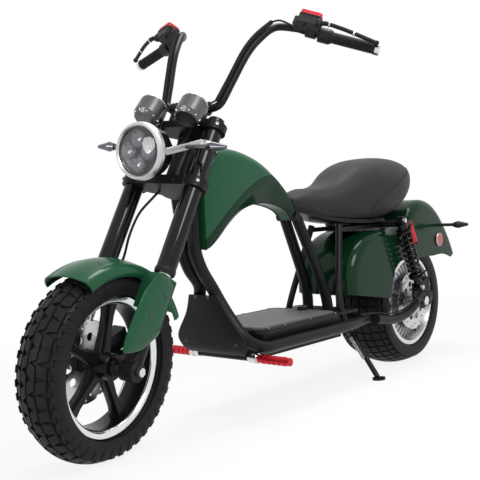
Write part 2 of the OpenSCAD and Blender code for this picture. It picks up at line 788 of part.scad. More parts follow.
module handlebar() { color(frame_black) fork() tube(bar_route, bar_d, [1, 0, 0.2], 12); }

module bar_clamps() {
    color(frame_black) fork() both() difference() {
        translate([0, bar_clamp_y, 0]) {
            translate([0, 0, upper_clamp_z + upper_clamp_t + seat_gap])
                cylinder(r = 14, h = bar_z - upper_clamp_z - upper_clamp_t);
            translate([0, 0, bar_z]) rotate([90, 0, 0]) cylinder(r = bar_d / 2 + 8, h = 30, center = true);
        }
        translate([0, bar_clamp_y, bar_z]) rotate([90, 0, 0])
            cylinder(d = bar_d + 0.6, h = 60, center = true);
    }
}

// Frame of the left grip: Z outward along it, X down, Y backward
module on_grip(at) {
    fork() both() translate(grip_from + grip_dir * at) rotate([0, grip_down, grip_back]) children();
}

grip_start = 78.4;
housing_from = 46.4;
housing_l = 31.6;

module grips() {
    color(rubber) on_grip(grip_start) difference() {
        cylinder(r = grip_r, h = grip_l - grip_start);
        translate([0, 0, -1]) cylinder(d = bar_d + 0.6, h = grip_l);
    }
}

module bar_ends() { color(polished) on_grip(grip_l + seat_gap) cylinder(r = grip_r + 1, h = 12); }

module switch_housings() {
    color(frame_black) on_grip(housing_from) difference() {
        cylinder(r = 22, h = housing_l);
        translate([0, 0, -1]) cylinder(d = bar_d + 0.6, h = housing_l + 2);
    }
}

// Brake master cylinders: clamp ring, body and the boss for a mirror
master_size = [26, 42, 62];
master_mid = [-4, -35, 15];
master_top = master_mid.x - master_size.x / 2;
mirror_at = [-13, -35, -22];
mirror_hole_r = 4;
mirror_hole_l = 16;

module master_cylinders() {
    color(frame_black) on_grip(0) difference() {
        union() {
            translate([0, 0, 8]) cylinder(r = 17, h = 30);
            translate(master_mid) cube(master_size, center = true);
            translate(mirror_at + [22, 0, 0]) rotate([0, -90, 0]) cylinder(r = 9, h = 22);
        }
        translate([0, 0, -60]) cylinder(d = bar_d + 0.6, h = 120);
        translate(mirror_at + [mirror_hole_l, 0, 0]) rotate([0, -90, 0])
            cylinder(r = mirror_hole_r, h = mirror_hole_l + 1);
    }
}

module reservoir_caps() {
    color(anodised_red) on_grip(0) translate([master_top - seat_gap, master_mid.y, master_mid.z])
        rotate([0, -90, 0])
        linear_extrude(14) round_rect(master_size.z, master_size.y, 8);
}

lever_route = [[0, -50, 48.7], [0, -58, 70], [0, -52, 120], [0, -40, 170], [0, -28, 214]];

module brake_levers() {
    color(frame_black) on_grip(0) tube(curve(lever_route, 3), 12, [1, 0, 0], 8);
}

// Wrapped cables along the bar's bends: how far ahead of the bar they lie at each of its points
wrap_ahead = [18.2, 18.2, 18.4, 19.5, 24];
wrap_route = [for (i = [0:len(wrap_ahead) - 1]) bend_route[i + 1] + [wrap_ahead[i], 0, 0]];

module cable_wraps() { color(rubber) fork() both() tube(curve(wrap_route, 4), 13, [1, 0, 0], 8); }

// Tyres: bead, sidewall and crown in one profile, revolved
function tyre_half(r, w, crown, lip, rim_w) =
    let (half = w / 2, top = r - crown + sqrt(crown * crown - pow(half - 10, 2)))
    concat(
        [[lip - 11, rim_w / 2 - 8], [lip + 1, rim_w / 2 - 8], [lip + 6, rim_w / 2 + 2]],
        [for (a = [-40:20:40]) [(lip + top) / 2 + 0.9 * (top - lip) / 2 * sin(a) / sin(40),
            half - 10 * (1 - cos(1.2 * a))]],
        [for (k = [5:-1:0]) let (y = (half - 10) * k / 5) [r - crown + sqrt(crown * crown - y * y), y]]);
module tyre(r, w, crown, lip, rim_w) {
    h = tyre_half(r, w, crown, lip, rim_w);
    rotate_extrude($fn = 96) polygon(concat(h, [for (i = [len(h) - 2:-1:0]) [h[i].x, -h[i].y]]));
}

// Rim barrel with its two lips
module rim_barrel(lip, w, wall) {
    rotate_extrude($fn = 96) polygon([
        [lip - 22, -w / 2 + 14], [lip - 14, -w / 2], [lip, -w / 2], [lip, -w / 2 + 7],
        [lip - 11.5, -w / 2 + 7.5],
        [lip - 11.5, w / 2 - 7.5], [lip, w / 2 - 7], [lip, w / 2], [lip - 14, w / 2],
        [lip - 22, w / 2 - 14]]);
}

spokes = 5;

module front_rim() {
    color(frame_black) front_wheel() difference() {
        union() {
            rim_barrel(front_lip_r, front_rim_w, 10);
            cylinder(r = 34, h = 2 * abs(front_disc_y), center = true);
            cylinder(r = 24, h = 2 * hub_half, center = true);
            for (i = [0:spokes - 1]) rotate([0, 0, i * 360 / spokes]) linear_extrude(36, center = true)
                polygon([[20, 17], [front_lip_r - 20, 13], [front_lip_r - 20, -13], [20, -17]]);
        }
        cylinder(r = front_axle_r + run_gap, h = 200, center = true);
    }
}

module front_tyre() {
    color(rubber) front_wheel() tyre(front_tyre_r, front_tyre_w, front_crown_r, front_lip_r, front_rim_w);
}

// Brake disc with a waved edge and drilled face
module brake_disc(inner) {
    waves = 10;
    difference() {
        cylinder(r = disc_r, h = disc_t);
        translate([0, 0, -1]) cylinder(r = inner, h = disc_t + 2);
        for (i = [0:waves - 1]) rotate([0, 0, i * 360 / waves]) {
            translate([disc_r + 4, 0, -1]) cylinder(r = 9, h = disc_t + 2);
            translate([disc_r - 44, 0, -1]) cylinder(r = 11, h = disc_t + 2);
            for (k = [0:1]) rotate([0, 0, 12 * k + 10]) translate([disc_r - 10 - 9 * k, 0, -1])
                cylinder(r = 3.5, h = disc_t + 2);
        }
    }
}

module front_disc() { color(satin_grey) front_wheel()
    translate([0, 0, front_disc_y - disc_t - seat_gap]) brake_disc(24 + seat_gap); }

// Hub motor: a drum with ribbed covers that fills the rear rim
motor_r = rear_lip_r - 23;

module rear_hub() {
    color(polished) rear_wheel() difference() {
        union() {
            rim_barrel(rear_lip_r, rear_rim_w, 10);
            rotate_extrude($fn = 96) polygon([
                [0, -100], [40, -100], [44, -84], [0.77 * motor_r, -78], [motor_r + 2, -66],
                [motor_r + 2, 66], [0.77 * motor_r, 78],
                [44, 84], [40, 100 - seat_gap], [0, 100 - seat_gap]]);
            cylinder(r = 26, h = 2 * 118, center = true);
        }
        cylinder(r = rear_axle_r + run_gap, h = 300, center = true);
    }
}

module rear_tyre() {
    color(rubber) rear_wheel() tyre(rear_tyre_r, rear_tyre_w, rear_crown_r, rear_lip_r, rear_rim_w);
}

module rear_disc() { color(satin_grey) rear_wheel() translate([0, 0, rear_disc_y])
    brake_disc(26 + seat_gap); }

// Side stand: leg, foot flat on the floor and toe tang
stand_foot = unparked([346 - origin_x, 154 - origin_y, 0]);
stand_d = 18;
stand_top = stand_pivot + [0, 4, 0];
stand_line = stand_foot + [0, -6, 10] - stand_top;
spring_off = [15.4, 0, 0];

module side_stand() {
    color(frame_black) bike() {
        rod(stand_top, stand_top + stand_line, stand_d);
        translate(stand_pivot + [0, -7.6, 0]) rotate([-90, 0, 0]) cylinder(r = 13, h = 18);
        translate(stand_foot) rotate([lean, -pitch, 0]) cylinder(r = 22, h = 8);
    }
}

module stand_spring() {
    color(polished) bike() rod(stand_top + 0.14 * stand_line + spring_off,
        stand_top + 0.6 * stand_line + spring_off, 12);
}

main_frame();
nose_plate();
battery_box();
battery();
deck();
deck_mat();
rear_panel();
tank();
tank_strip();
seat();
seat_base();
rear_fender();
swingarm();
rear_axle();
shock_bodies();
shock_springs();
shock_reservoirs();
rear_caliper();
rear_hose();
tail_lamp();
rear_signals();
side_reflectors();
foot_pegs();
peg_clamps();
lower_clamp();
upper_clamp();
fork_tubes();
fork_sliders();
fork_feet();
front_axle();
front_fender();
front_caliper();
front_hose();
headlamp_bucket();
headlamp_bezel();
headlamp_lens();
headlamp_stays();
front_signals();
gauge_pods();
handlebar();
bar_clamps();
grips();
bar_ends();
brake_levers();
master_cylinders();
reservoir_caps();
switch_housings();
cable_wraps();
front_rim();
front_tyre();
front_disc();
rear_hub();
rear_tyre();
rear_disc();
side_stand();
stand_spring();
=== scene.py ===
import math
import bmesh
import bpy
from mathutils import Matrix, Vector
from mathutils.bvhtree import BVHTree


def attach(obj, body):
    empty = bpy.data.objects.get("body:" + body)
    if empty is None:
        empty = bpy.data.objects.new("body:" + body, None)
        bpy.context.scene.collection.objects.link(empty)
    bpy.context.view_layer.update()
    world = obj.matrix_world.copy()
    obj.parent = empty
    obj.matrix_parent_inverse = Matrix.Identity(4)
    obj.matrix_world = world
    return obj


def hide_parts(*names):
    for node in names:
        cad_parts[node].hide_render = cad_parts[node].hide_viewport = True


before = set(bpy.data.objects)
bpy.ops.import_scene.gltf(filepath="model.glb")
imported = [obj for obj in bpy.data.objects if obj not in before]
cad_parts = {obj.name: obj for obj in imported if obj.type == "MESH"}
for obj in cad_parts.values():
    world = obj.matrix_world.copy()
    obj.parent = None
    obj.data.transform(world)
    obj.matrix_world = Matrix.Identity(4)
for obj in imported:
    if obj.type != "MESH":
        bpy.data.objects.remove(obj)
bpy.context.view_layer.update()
scene = bpy.context.scene
mm = 0.001
print("frame loaded:", len(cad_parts), "nodes")

# how the scooter is parked, as in the part's source, in millimetres and degrees
stance = {
    "lean": 4, "steer": 9, "rake": 29.7, "pitch": 0.0440723, "lift": 0.46283, "stem": 35,
    "wheelbase": 1420, "frontAxle": 243, "rearAxle": 238, "originX": 654.5, "originY": 56.5,
}


def turn(axis, degrees):
    return Matrix.Rotation(math.radians(degrees), 4, axis)


def shift(x=0, y=0, z=0):  # moves a place, which is in metres
    return Matrix.Translation((x * mm, y * mm, z * mm))


def slide(x=0, y=0, z=0):  # moves a shape, which is in millimetres
    return Matrix.Translation((x, y, z))


unmoved = Matrix.Identity(4)
flipY = Matrix.Scale(-1, 4, (0, 1, 0))
bikeAt = (shift(-stance["originX"], -stance["originY"], stance["lift"])
          @ turn("Y", stance["pitch"]) @ turn("X", -stance["lean"]))
headAt = (bikeAt @ shift(stance["wheelbase"], 0, stance["frontAxle"]) @ turn("Y", -stance["rake"])
          @ shift(-stance["stem"]))
forkAt = headAt @ turn("Z", stance["steer"]) @ shift(stance["stem"])
frontWheelAt = forkAt @ turn("X", -90)
rearWheelAt = bikeAt @ shift(0, 0, stance["rearAxle"]) @ turn("X", -90)


def otherSide(middle, place):  # a place mirrored in the middle plane of the bike or the fork
    return middle @ flipY @ middle.inverted() @ place


# shapes are (points in millimetres, faces) until they become a piece

def arc(steps, to=360):  # angles with both ends
    return [math.radians(to * k / steps) for k in range(steps + 1)]


def bothSides(half, shared=0):  # half a profile and its mirror image
    return half + [(r, -z) for r, z in reversed(half[:len(half) - shared])]


def bead(radius, middle, thick, sides):  # a small round section for a turned ring
    return [(radius + thick * math.cos(a), middle + thick * math.sin(a)) for a in arc(sides)[:-1]]


def smoothStations(stations, steps):  # a spline through rows of numbers
    last = len(stations) - 1
    out = []
    for i in range(last):
        four = [stations[min(max(k, 0), last)] for k in range(i - 1, i + 3)]
        for t in [k / steps for k in range(steps)]:
            out.append(tuple((2 * b + (c - a) * t + (2 * a - 5 * b + 4 * c - d) * t * t
                              + (3 * b - a - 3 * c + d) * t ** 3) / 2 for a, b, c, d in zip(*four)))
    return out + [tuple(stations[-1])]


def smoothRoute(points, steps):
    return [Vector(p) for p in smoothStations(points, steps)]


def roundedRoute(points, reach, steps=6):
    p = [Vector(q) for q in points]
    out = [p[0]]
    for i in range(1, len(p) - 1):
        back, ahead = p[i - 1] - p[i], p[i + 1] - p[i]
        a = p[i] + back.normalized() * min(reach, back.length / 2)
        b = p[i] + ahead.normalized() * min(reach, ahead.length / 2)
        for k in range(steps + 1):
            t = k / steps
            out.append(a * (1 - t) ** 2 + p[i] * 2 * t * (1 - t) + b * t * t)
    return out + [p[-1]]


def roundRectRoute(xMiddle, xHalf, yHalf, r, z, steps=6):
    route = []
    for cx, cy, start in ((1, 1, 0), (-1, 1, 90), (-1, -1, 180), (1, -1, 270)):
        for a in [math.radians(start) + b for b in arc(steps, 90)]:
            x = xMiddle + cx * (xHalf - r) + r * math.cos(a)
            route.append((x, cy * (yHalf - r) + r * math.sin(a), z))
    return route + route[:1]


def loft(rings, caps=True):
    n = len(rings[0])
    verts = [Vector(p) for ring in rings for p in ring]
    faces = []
    for i in range(len(rings) - 1):
        for j in range(n):
            k = (j + 1) % n
            faces.append((i * n + j, (i + 1) * n + j, (i + 1) * n + k, i * n + k))
    if caps:
        last = (len(rings) - 1) * n
        faces += [tuple(range(n)), tuple(last + j for j in reversed(range(n)))]
    return verts, faces


def shell(rings):  # each ring runs out along the outer skin and back along the inner one
    verts, faces = loft(rings, caps=False)
    n = len(rings[0])
    last = (len(rings) - 1) * n
    for j in range(n // 2 - 1):
        faces.append((j, j + 1, n - 2 - j, n - 1 - j))
        faces.append((last + j, last + n - 1 - j, last + n - 2 - j, last + j + 1))
    return verts, faces


def sweep(route, radius, sides=18):
    p = [Vector(q) for q in route]
    radii = radius if isinstance(radius, list) else [radius] * len(p)
    heading = [(p[min(i + 1, len(p) - 1)] - p[max(i - 1, 0)]).normalized() for i in range(len(p))]
    side = heading[0].orthogonal().normalized()
    rings = []
    for i in range(len(p)):
        side = (side - heading[i] * side.dot(heading[i])).normalized()
        up = heading[i].cross(side)
        rings.append([p[i] + radii[i] * (side * math.cos(a) + up * math.sin(a)) for a in arc(sides)[:-1]])
    return loft(rings)


def lathe(profile, steps=72, closed=False):
    n = len(profile)
    verts = [Vector((r * math.cos(a), r * math.sin(a), z)) for a in arc(steps)[:-1] for r, z in profile]
    faces = []
    for i in range(steps):
        nxt = (i + 1) % steps
        for j in range(n if closed else n - 1):
            k = (j + 1) % n
            faces.append((i * n + j, nxt * n + j, nxt * n + k, i * n + k))
    return verts, faces


def prism(outline, low, high):
    n = len(outline)
    verts = [Vector((x, y, z)) for z in (low, high) for x, y in outline]
    faces = [(i, (i + 1) % n, n + (i + 1) % n, n + i) for i in range(n)]
    return verts, faces + [tuple(reversed(range(n))), tuple(range(n, 2 * n))]


def block(size, middle=(0, 0, 0)):
    x, y, z = [s / 2 for s in size]
    return moved(prism([(-x, -y), (x, -y), (x, y), (-x, y)], -z, z), slide(*middle))


def moved(shape, matrix):
    return [matrix @ v for v in shape[0]], shape[1]


def meshOf(name, shapes, places):
    bm = bmesh.new()
    for place in places:
        for verts, faces in shapes:
            made = [bm.verts.new(place @ (v * mm)) for v in verts]
            for face in faces:
                bm.faces.new([made[i] for i in face])
    bmesh.ops.remove_doubles(bm, verts=bm.verts, dist=1e-6)
    bmesh.ops.recalc_face_normals(bm, faces=bm.faces)
    mesh = bpy.data.meshes.new(name)
    bm.to_mesh(mesh)
    bm.free()
    return mesh


def setPiece(name, mesh, body, finish, standsFor=(), crease=35, bevel=0):
    mesh.materials.append(finishes[finish]["material"])
    mesh.polygons.foreach_set("use_smooth", [True] * len(mesh.polygons))
    mesh.set_sharp_from_angle(angle=math.radians(crease))
    piece = addObject(name, mesh)
    if bevel:
        mod = piece.modifiers.new("edges", "BEVEL")
        mod.width = bevel * mm
        mod.segments = 2
        mod.limit_method = "ANGLE"
        mod.angle_limit = math.radians(40)
    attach(piece, body)
    if standsFor:
        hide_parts(*standsFor)
    return piece


def placesOf(at, both, other):
    # the second place is given, or is the first one mirrored in its own middle plane
    if other is not None:
        return [at, other]
    return [at, at @ flipY] if both else [at]


def makePiece(name, shapes, body, finish, at=bikeAt, both=False, other=None, **rest):
    return setPiece(name, meshOf(name, shapes, placesOf(at, both, other)), body, finish, **rest)


def addObject(name, data):
    made = bpy.data.objects.new(name, data)
    scene.collection.objects.link(made)
    return made


def evaluatedMesh(obj):
    bpy.context.view_layer.update()
    return bpy.data.meshes.new_from_object(obj.evaluated_get(bpy.context.evaluated_depsgraph_get()))


# node trees for what repeats: round a ring, at listed points, along a route

def addNode(tree, kind, inputs, **settings):
    made = tree.nodes.new(kind)
    for name, value in settings.items():
        setattr(made, name, value)
    for key, value in inputs.items():
        if isinstance(value, bpy.types.NodeSocket):
            tree.links.new(value, made.inputs[key])
        else:
            made.inputs[key].default_value = value
    return made


def newTree(name, **inputs):
    tree = bpy.data.node_groups.new(name, "GeometryNodeTree")
    keys = {}
    for label, kind in {"Geometry": "Geometry", **inputs, "Item": "Object", "Finish": "Material"}.items():
        made = tree.interface.new_socket(label, in_out="INPUT", socket_type="NodeSocket" + kind)
        keys[label] = made.identifier
    tree.interface.new_socket("Geometry", in_out="OUTPUT", socket_type="NodeSocketGeometry")
    return tree, keys, tree.nodes.new("NodeGroupInput").outputs


def endTree(tree, source, points, rotation):
    item = addNode(tree, "GeometryNodeObjectInfo", {"Object": source["Item"]}).outputs["Geometry"]
    copies = addNode(tree, "GeometryNodeInstanceOnPoints",
                     {"Points": points, "Instance": item, "Rotation": rotation}).outputs["Instances"]
    real = addNode(tree, "GeometryNodeRealizeInstances", {"Geometry": copies}).outputs["Geometry"]
    paint = addNode(tree, "GeometryNodeSetMaterial", {"Geometry": real, "Material": source["Finish"]})
    addNode(tree, "NodeGroupOutput", {"Geometry": paint.outputs["Geometry"]})


def buildRingTree():
    tree, keys, source = newTree("roundARing", Count="Int", Radius="Float", Start="Float")
    ring = addNode(tree, "GeometryNodeMeshCircle",
                   {"Vertices": source["Count"], "Radius": source["Radius"]})
    step = addNode(tree, "ShaderNodeMath", {0: 2 * math.pi, 1: source["Count"]}, operation="DIVIDE")
    index = addNode(tree, "GeometryNodeInputIndex", {})
    angle = addNode(tree, "ShaderNodeMath", {0: index.outputs["Index"], 1: step.outputs[0],
                                             2: source["Start"]}, operation="MULTIPLY_ADD")
    spin = addNode(tree, "ShaderNodeCombineXYZ", {"Z": angle.outputs[0]})
    endTree(tree, source, ring.outputs["Mesh"], spin.outputs["Vector"])
    return tree, keys


def buildPointTree():
    tree, keys, source = newTree("atPoints")
    facing = addNode(tree, "GeometryNodeInputNamedAttribute", {"Name": "facing"}, data_type="FLOAT_VECTOR")
    align = addNode(tree, "FunctionNodeAlignRotationToVector", {"Vector": facing.outputs["Attribute"]},
                    axis="Z")
    endTree(tree, source, source["Geometry"], align.outputs["Rotation"])
    return tree, keys


def buildRouteTree():
    tree, keys, source = newTree("alongRoute", Spacing="Float")
    curve = addNode(tree, "GeometryNodeMeshToCurve", {"Mesh": source["Geometry"]})
    points = addNode(tree, "GeometryNodeCurveToPoints",
                     {"Curve": curve.outputs["Curve"], "Length": source["Spacing"]}, mode="LENGTH")
    endTree(tree, source, points.outputs["Points"], points.outputs["Rotation"])
    return tree, keys


ringTree = buildRingTree()
pointTree = buildPointTree()
routeTree = buildRouteTree()


def treePiece(name, treeAndKeys, hostMesh, shapes, values, body, finish, places, **rest):
    tree, keys = treeAndKeys
    item = addObject(name + "Item", meshOf(name + "Item", shapes, [unmoved]))
    host = addObject(name + "Host", hostMesh)
    mod = host.modifiers.new("nodes", "NODES")
    mod.node_group = tree
    for label, value in {**values, "Item": item, "Finish": finishes[finish]["material"]}.items():
        mod[keys[label]] = value
    made = evaluatedMesh(host)
    host.modifiers.clear()
    bm = bmesh.new()
    for place in places:
        copy = made.copy()
        copy.transform(place)
        if place.determinant() < 0:
            copy.flip_normals()
        bm.from_mesh(copy)
        bpy.data.meshes.remove(copy)
    out = bpy.data.meshes.new(name)
    bm.to_mesh(out)
    bm.free()
    bpy.data.meshes.remove(made)
    for temp in (item, host):
        bpy.data.objects.remove(temp, do_unlink=True)
    return setPiece(name, out, body, finish, **rest)


def ringPiece(name, shapes, count, body, finish, places, radius=0, start=0, **rest):
    values = {"Count": count, "Radius": radius * mm, "Start": math.radians(start)}
    return treePiece(name, ringTree, bpy.data.meshes.new(name + "Host"), shapes, values, body, finish,
                     places, **rest)


def pointPiece(name, shapes, spots, body, finish, **rest):
    mesh = bpy.data.meshes.new(name + "Host")
    mesh.from_pydata([place for place, facing in spots], [], [])
    facings = mesh.attributes.new("facing", "FLOAT_VECTOR", "POINT").data
    facings.foreach_set("vector", [c for place, facing in spots for c in facing])
    return treePiece(name, pointTree, mesh, shapes, {}, body, finish, [unmoved], **rest)


def routePiece(name, shapes, route, spacing, body, finish, places, **rest):
    mesh = bpy.data.meshes.new(name + "Host")
    mesh.from_pydata([Vector(p) * mm for p in route], [(i, i + 1) for i in range(len(route) - 1)], [])
    return treePiece(name, routeTree, mesh, shapes, {"Spacing": spacing * mm}, body, finish, places, **rest)


def spot(at, point, facing, both=False, other=None):
    return [(place @ (Vector(point) * mm), place.to_3x3() @ Vector(facing))
            for place in placesOf(at, both, other)]


# finishes

def objectPoint(tree, centre=None):
    point = addNode(tree, "ShaderNodeTexCoord", {}).outputs["Object"]
    if centre is None:
        return point
    back = centre.inverted()
    mapping = addNode(tree, "ShaderNodeMapping", {
        "Vector": point, "Location": back.to_translation(), "Rotation": back.to_euler()})
    return mapping.outputs["Vector"]


def span(tree, value, low, high, fromLow=0.3, fromHigh=0.7):
    made = addNode(tree, "ShaderNodeMapRange", {
        "Value": value, "From Min": fromLow, "From Max": fromHigh, "To Min": low, "To Max": high})
    return made.outputs["Result"]


def blendColour(tree, share, *colours):
    first, second = [(*c, 1) if isinstance(c, tuple) else c for c in colours]
    made = addNode(tree, "ShaderNodeMix", {"Factor": share, 6: first, 7: second}, data_type="RGBA")
    return made.outputs[2]


def noise(tree, point, scale):
    made = addNode(tree, "ShaderNodeTexNoise", {"Vector": point, "Scale": scale, "Detail": 4.0})
    return made.outputs["Fac"]


def newMaterial(name):
    material = bpy.data.materials.new(name)
    material.use_nodes = True
    return material, material.node_tree, material.node_tree.nodes["Principled BSDF"]


def setRelief(tree, shader, height, strength, distance):
    relief = addNode(tree, "ShaderNodeBump", {"Strength": strength, "Distance": distance, "Height": height})
    tree.links.new(relief.outputs["Normal"], shader.inputs["Normal"])


def makeFinish(name, slot, dark, light, rough, metal=0.0, patch=7, grain=400, bump=0.1, bumpMm=0.2,
               cells=False, coat=0.0, coatRough=0.04, sheen=0.0, clear=0.0, ior=1.5, shine=0.5):
    material, tree, shader = newMaterial(name)
    point = objectPoint(tree)
    cloud = noise(tree, point, patch)
    kind, value = ("ShaderNodeTexVoronoi", "Distance") if cells else ("ShaderNodeTexNoise", "Fac")
    fine = addNode(tree, kind, {"Vector": point, "Scale": grain}).outputs[value]
    tree.links.new(blendColour(tree, cloud, dark, light), shader.inputs["Base Color"])
    tree.links.new(span(tree, cloud, *rough), shader.inputs["Roughness"])
    setRelief(tree, shader, fine, bump, bumpMm * mm)
    for socket, level in (("Metallic", metal), ("Coat Weight", coat), ("Coat Roughness", coatRough),
                          ("Sheen Weight", sheen), ("Transmission Weight", clear), ("IOR", ior),
                          ("Specular IOR Level", shine)):
        shader.inputs[socket].default_value = level
    return {"material": material, "slot": slot}


# slot, darker and lighter patches, roughness of both, then what differs from the defaults
finishLooks = {
    "greenPaint": ("green_paint", (0.007, 0.062, 0.026), (0.011, 0.086, 0.038), (0.32, 0.42),
                   dict(patch=3, grain=1500, bump=0.04, bumpMm=0.1, coat=0.3, shine=0.08)),
    # painted shade: a darker copy of the green paint, for the rear fender and the band under the tank's
    # crease, which sit in shade
    "paintedShadeGreen": ("green_paint", (0.002, 0.02, 0.0075), (0.0035, 0.03, 0.012), (0.2, 0.3),
                  dict(patch=3, grain=1500, bump=0.04, bumpMm=0.1, coat=0.25, coatRough=0.02, shine=0.06)),
    "glossBlack": ("gloss_black", (0.004, 0.004, 0.0045), (0.008, 0.008, 0.009), (0.06, 0.11),
                   dict(patch=9, grain=900, bump=0.02, coat=0.2, coatRough=0.02, shine=0.14)),
    "satinBlack": ("satin_black", (0.007, 0.007, 0.0075), (0.013, 0.013, 0.014), (0.3, 0.42),
                   dict(patch=8, grain=1400, bump=0.12, bumpMm=0.15, shine=0.14)),
    "shellBlack": ("satin_black", (0.01, 0.01, 0.0105), (0.017, 0.017, 0.018), (0.4, 0.52),
                   dict(patch=6, grain=1100, bump=0.25, bumpMm=0.25, shine=0.13)),
    "polished": ("polished_alloy", (0.6, 0.61, 0.62), (0.74, 0.75, 0.76), (0.12, 0.24),
                 dict(metal=1.0, patch=14, grain=700, bump=0.03)),
    "satinAlloy": ("polished_alloy", (0.5, 0.505, 0.51), (0.6, 0.605, 0.61), (0.32, 0.42),
                   dict(metal=1.0, patch=14, grain=1200, bump=0.06)),
    "castAlloy": ("hub_alloy", (0.36, 0.37, 0.38), (0.5, 0.51, 0.52), (0.28, 0.42),
                  dict(metal=1.0, patch=18, grain=900, bump=0.15)),
    "greyMetal": ("grey_metal", (0.09, 0.092, 0.096), (0.15, 0.153, 0.158), (0.24, 0.34),
                  dict(metal=1.0, patch=12, grain=1600, bump=0.02)),
    "darkChrome": ("grey_metal", (0.1, 0.105, 0.115), (0.17, 0.175, 0.19), (0.06, 0.12),
                   dict(metal=1.0, patch=30, grain=500, bump=0.04)),
    "redAnodised": ("red_anodised", (0.5, 0.014, 0.024), (0.62, 0.024, 0.036), (0.25, 0.36),
                    dict(metal=0.7, patch=16, grain=1200, bump=0.06)),
    "tyreRubber": ("tyre_rubber", (0.008, 0.008, 0.0083), (0.017, 0.017, 0.0175), (0.4, 0.55),
                   dict(patch=13, grain=500, bump=0.2, bumpMm=0.4, shine=0.12)),
    "blackRubber": ("black_rubber", (0.012, 0.012, 0.012), (0.02, 0.02, 0.021), (0.48, 0.62),
                    dict(patch=20, grain=900, bump=0.2, shine=0.14)),
    "matRubber": ("mat_rubber", (0.1, 0.1, 0.106), (0.13, 0.13, 0.138), (0.5, 0.62),
                  dict(patch=6, grain=420, bump=0.5, bumpMm=0.5, cells=True, shine=0.25)),
    "seatLeather": ("seat_leather", (0.022, 0.0222, 0.024), (0.031, 0.0314, 0.0335), (0.46, 0.58),
                    dict(patch=10, grain=620, bump=0.35, bumpMm=0.35, cells=True, sheen=0.04, shine=0.14)),
    "blackPlastic": ("black_plastic", (0.014, 0.014, 0.015), (0.024, 0.024, 0.025), (0.36, 0.5),
                     dict(patch=15, grain=800, bump=0.15, shine=0.16)),
    "clearLens": ("clear_lens", (0.97, 0.98, 0.99), (1.0, 1.0, 1.0), (0.01, 0.04),
                  dict(patch=30, grain=300, bump=0.02, clear=1.0, ior=1.46)),
    "lightDome": ("clear_lens", (0.82, 0.83, 0.84), (0.92, 0.92, 0.93), (0.2, 0.3),
                  dict(patch=60, grain=500, bump=0.05, coat=0.5)),
    "redLens": ("red_lens", (0.3, 0.008, 0.012), (0.4, 0.014, 0.02), (0.08, 0.16),
                dict(patch=25, grain=260, bump=0.3, bumpMm=0.6, cells=True, coat=0.8)),
    "batteryCase": ("battery_case", (0.09, 0.1, 0.115), (0.13, 0.14, 0.16), (0.5, 0.65),
                    dict(patch=8, grain=700, bump=0.2)),
}
finishes = {name: makeFinish(name, *look[:4], **look[4]) for name, look in finishLooks.items()}


turnedMetal = {
    "patch": 40, "faceShade": 0.75, "rimShade": 0.88, "blendMm": 0.5, "shine": 0.18, "bump": 0.12,
    "bumpMm": 0.2,
}


def wheelFinish(name, slot, centre, face, rim, edge, faceRough, rimRough, rings=0):
    # one finish inside a radius and another outside it, with turned rings where asked
    material, tree, shader = newMaterial(name)
    point = objectPoint(tree, centre)
    flat = addNode(tree, "ShaderNodeVectorMath", {0: point, 1: (1, 1, 0)}, operation="MULTIPLY")
    size = addNode(tree, "ShaderNodeVectorMath", {0: flat.outputs[0]}, operation="LENGTH").outputs["Value"]
    m = turnedMetal
    mask = span(tree, size, 0, 1, (edge - m["blendMm"]) * mm, (edge + m["blendMm"]) * mm)
    cloud = noise(tree, point, m["patch"])
    faceColour = blendColour(tree, cloud, tuple(c * m["faceShade"] for c in face), face)
    rimColour = blendColour(tree, cloud, tuple(c * m["rimShade"] for c in rim), rim)
    faceMetal = 1.0 if face[0] > 0.2 else 0.0
    tree.links.new(blendColour(tree, mask, faceColour, rimColour), shader.inputs["Base Color"])
    tree.links.new(span(tree, mask, faceRough, rimRough, 0, 1), shader.inputs["Roughness"])
    tree.links.new(span(tree, mask, faceMetal, 1.0, 0, 1), shader.inputs["Metallic"])
    shader.inputs["Specular IOR Level"].default_value = m["shine"]
    if rings:
        wave = addNode(tree, "ShaderNodeTexNoise", {"W": size, "Scale": rings, "Detail": 2.0},
                       noise_dimensions="1D")
        setRelief(tree, shader, wave.outputs["Fac"], m["bump"], m["bumpMm"] * mm)
    return {"material": material, "slot": slot}


# slot, wheel, colour of the face and of the rim, radius between them, roughness of both, turned rings
wheelLooks = {
    "castWheel": ("satin_black", frontWheelAt, (0.007, 0.007, 0.0075), (0.78, 0.79, 0.8), 156.5, 0.3, 0.14),
    "frontDisc": ("disc_steel", frontWheelAt, (0.5, 0.5, 0.51), (0.62, 0.62, 0.63), 70, 0.34, 0.22, 1800),
    "rearDisc": ("disc_steel", rearWheelAt, (0.5, 0.5, 0.51), (0.62, 0.62, 0.63), 70, 0.34, 0.22, 1800),
    "hubAlloy": ("hub_alloy", rearWheelAt, (0.5, 0.51, 0.52), (0.7, 0.71, 0.72), 150, 0.34, 0.16, 900),
}
finishes.update({name: wheelFinish(name, *look) for name, look in wheelLooks.items()})
print("finishes made:", len(finishes))

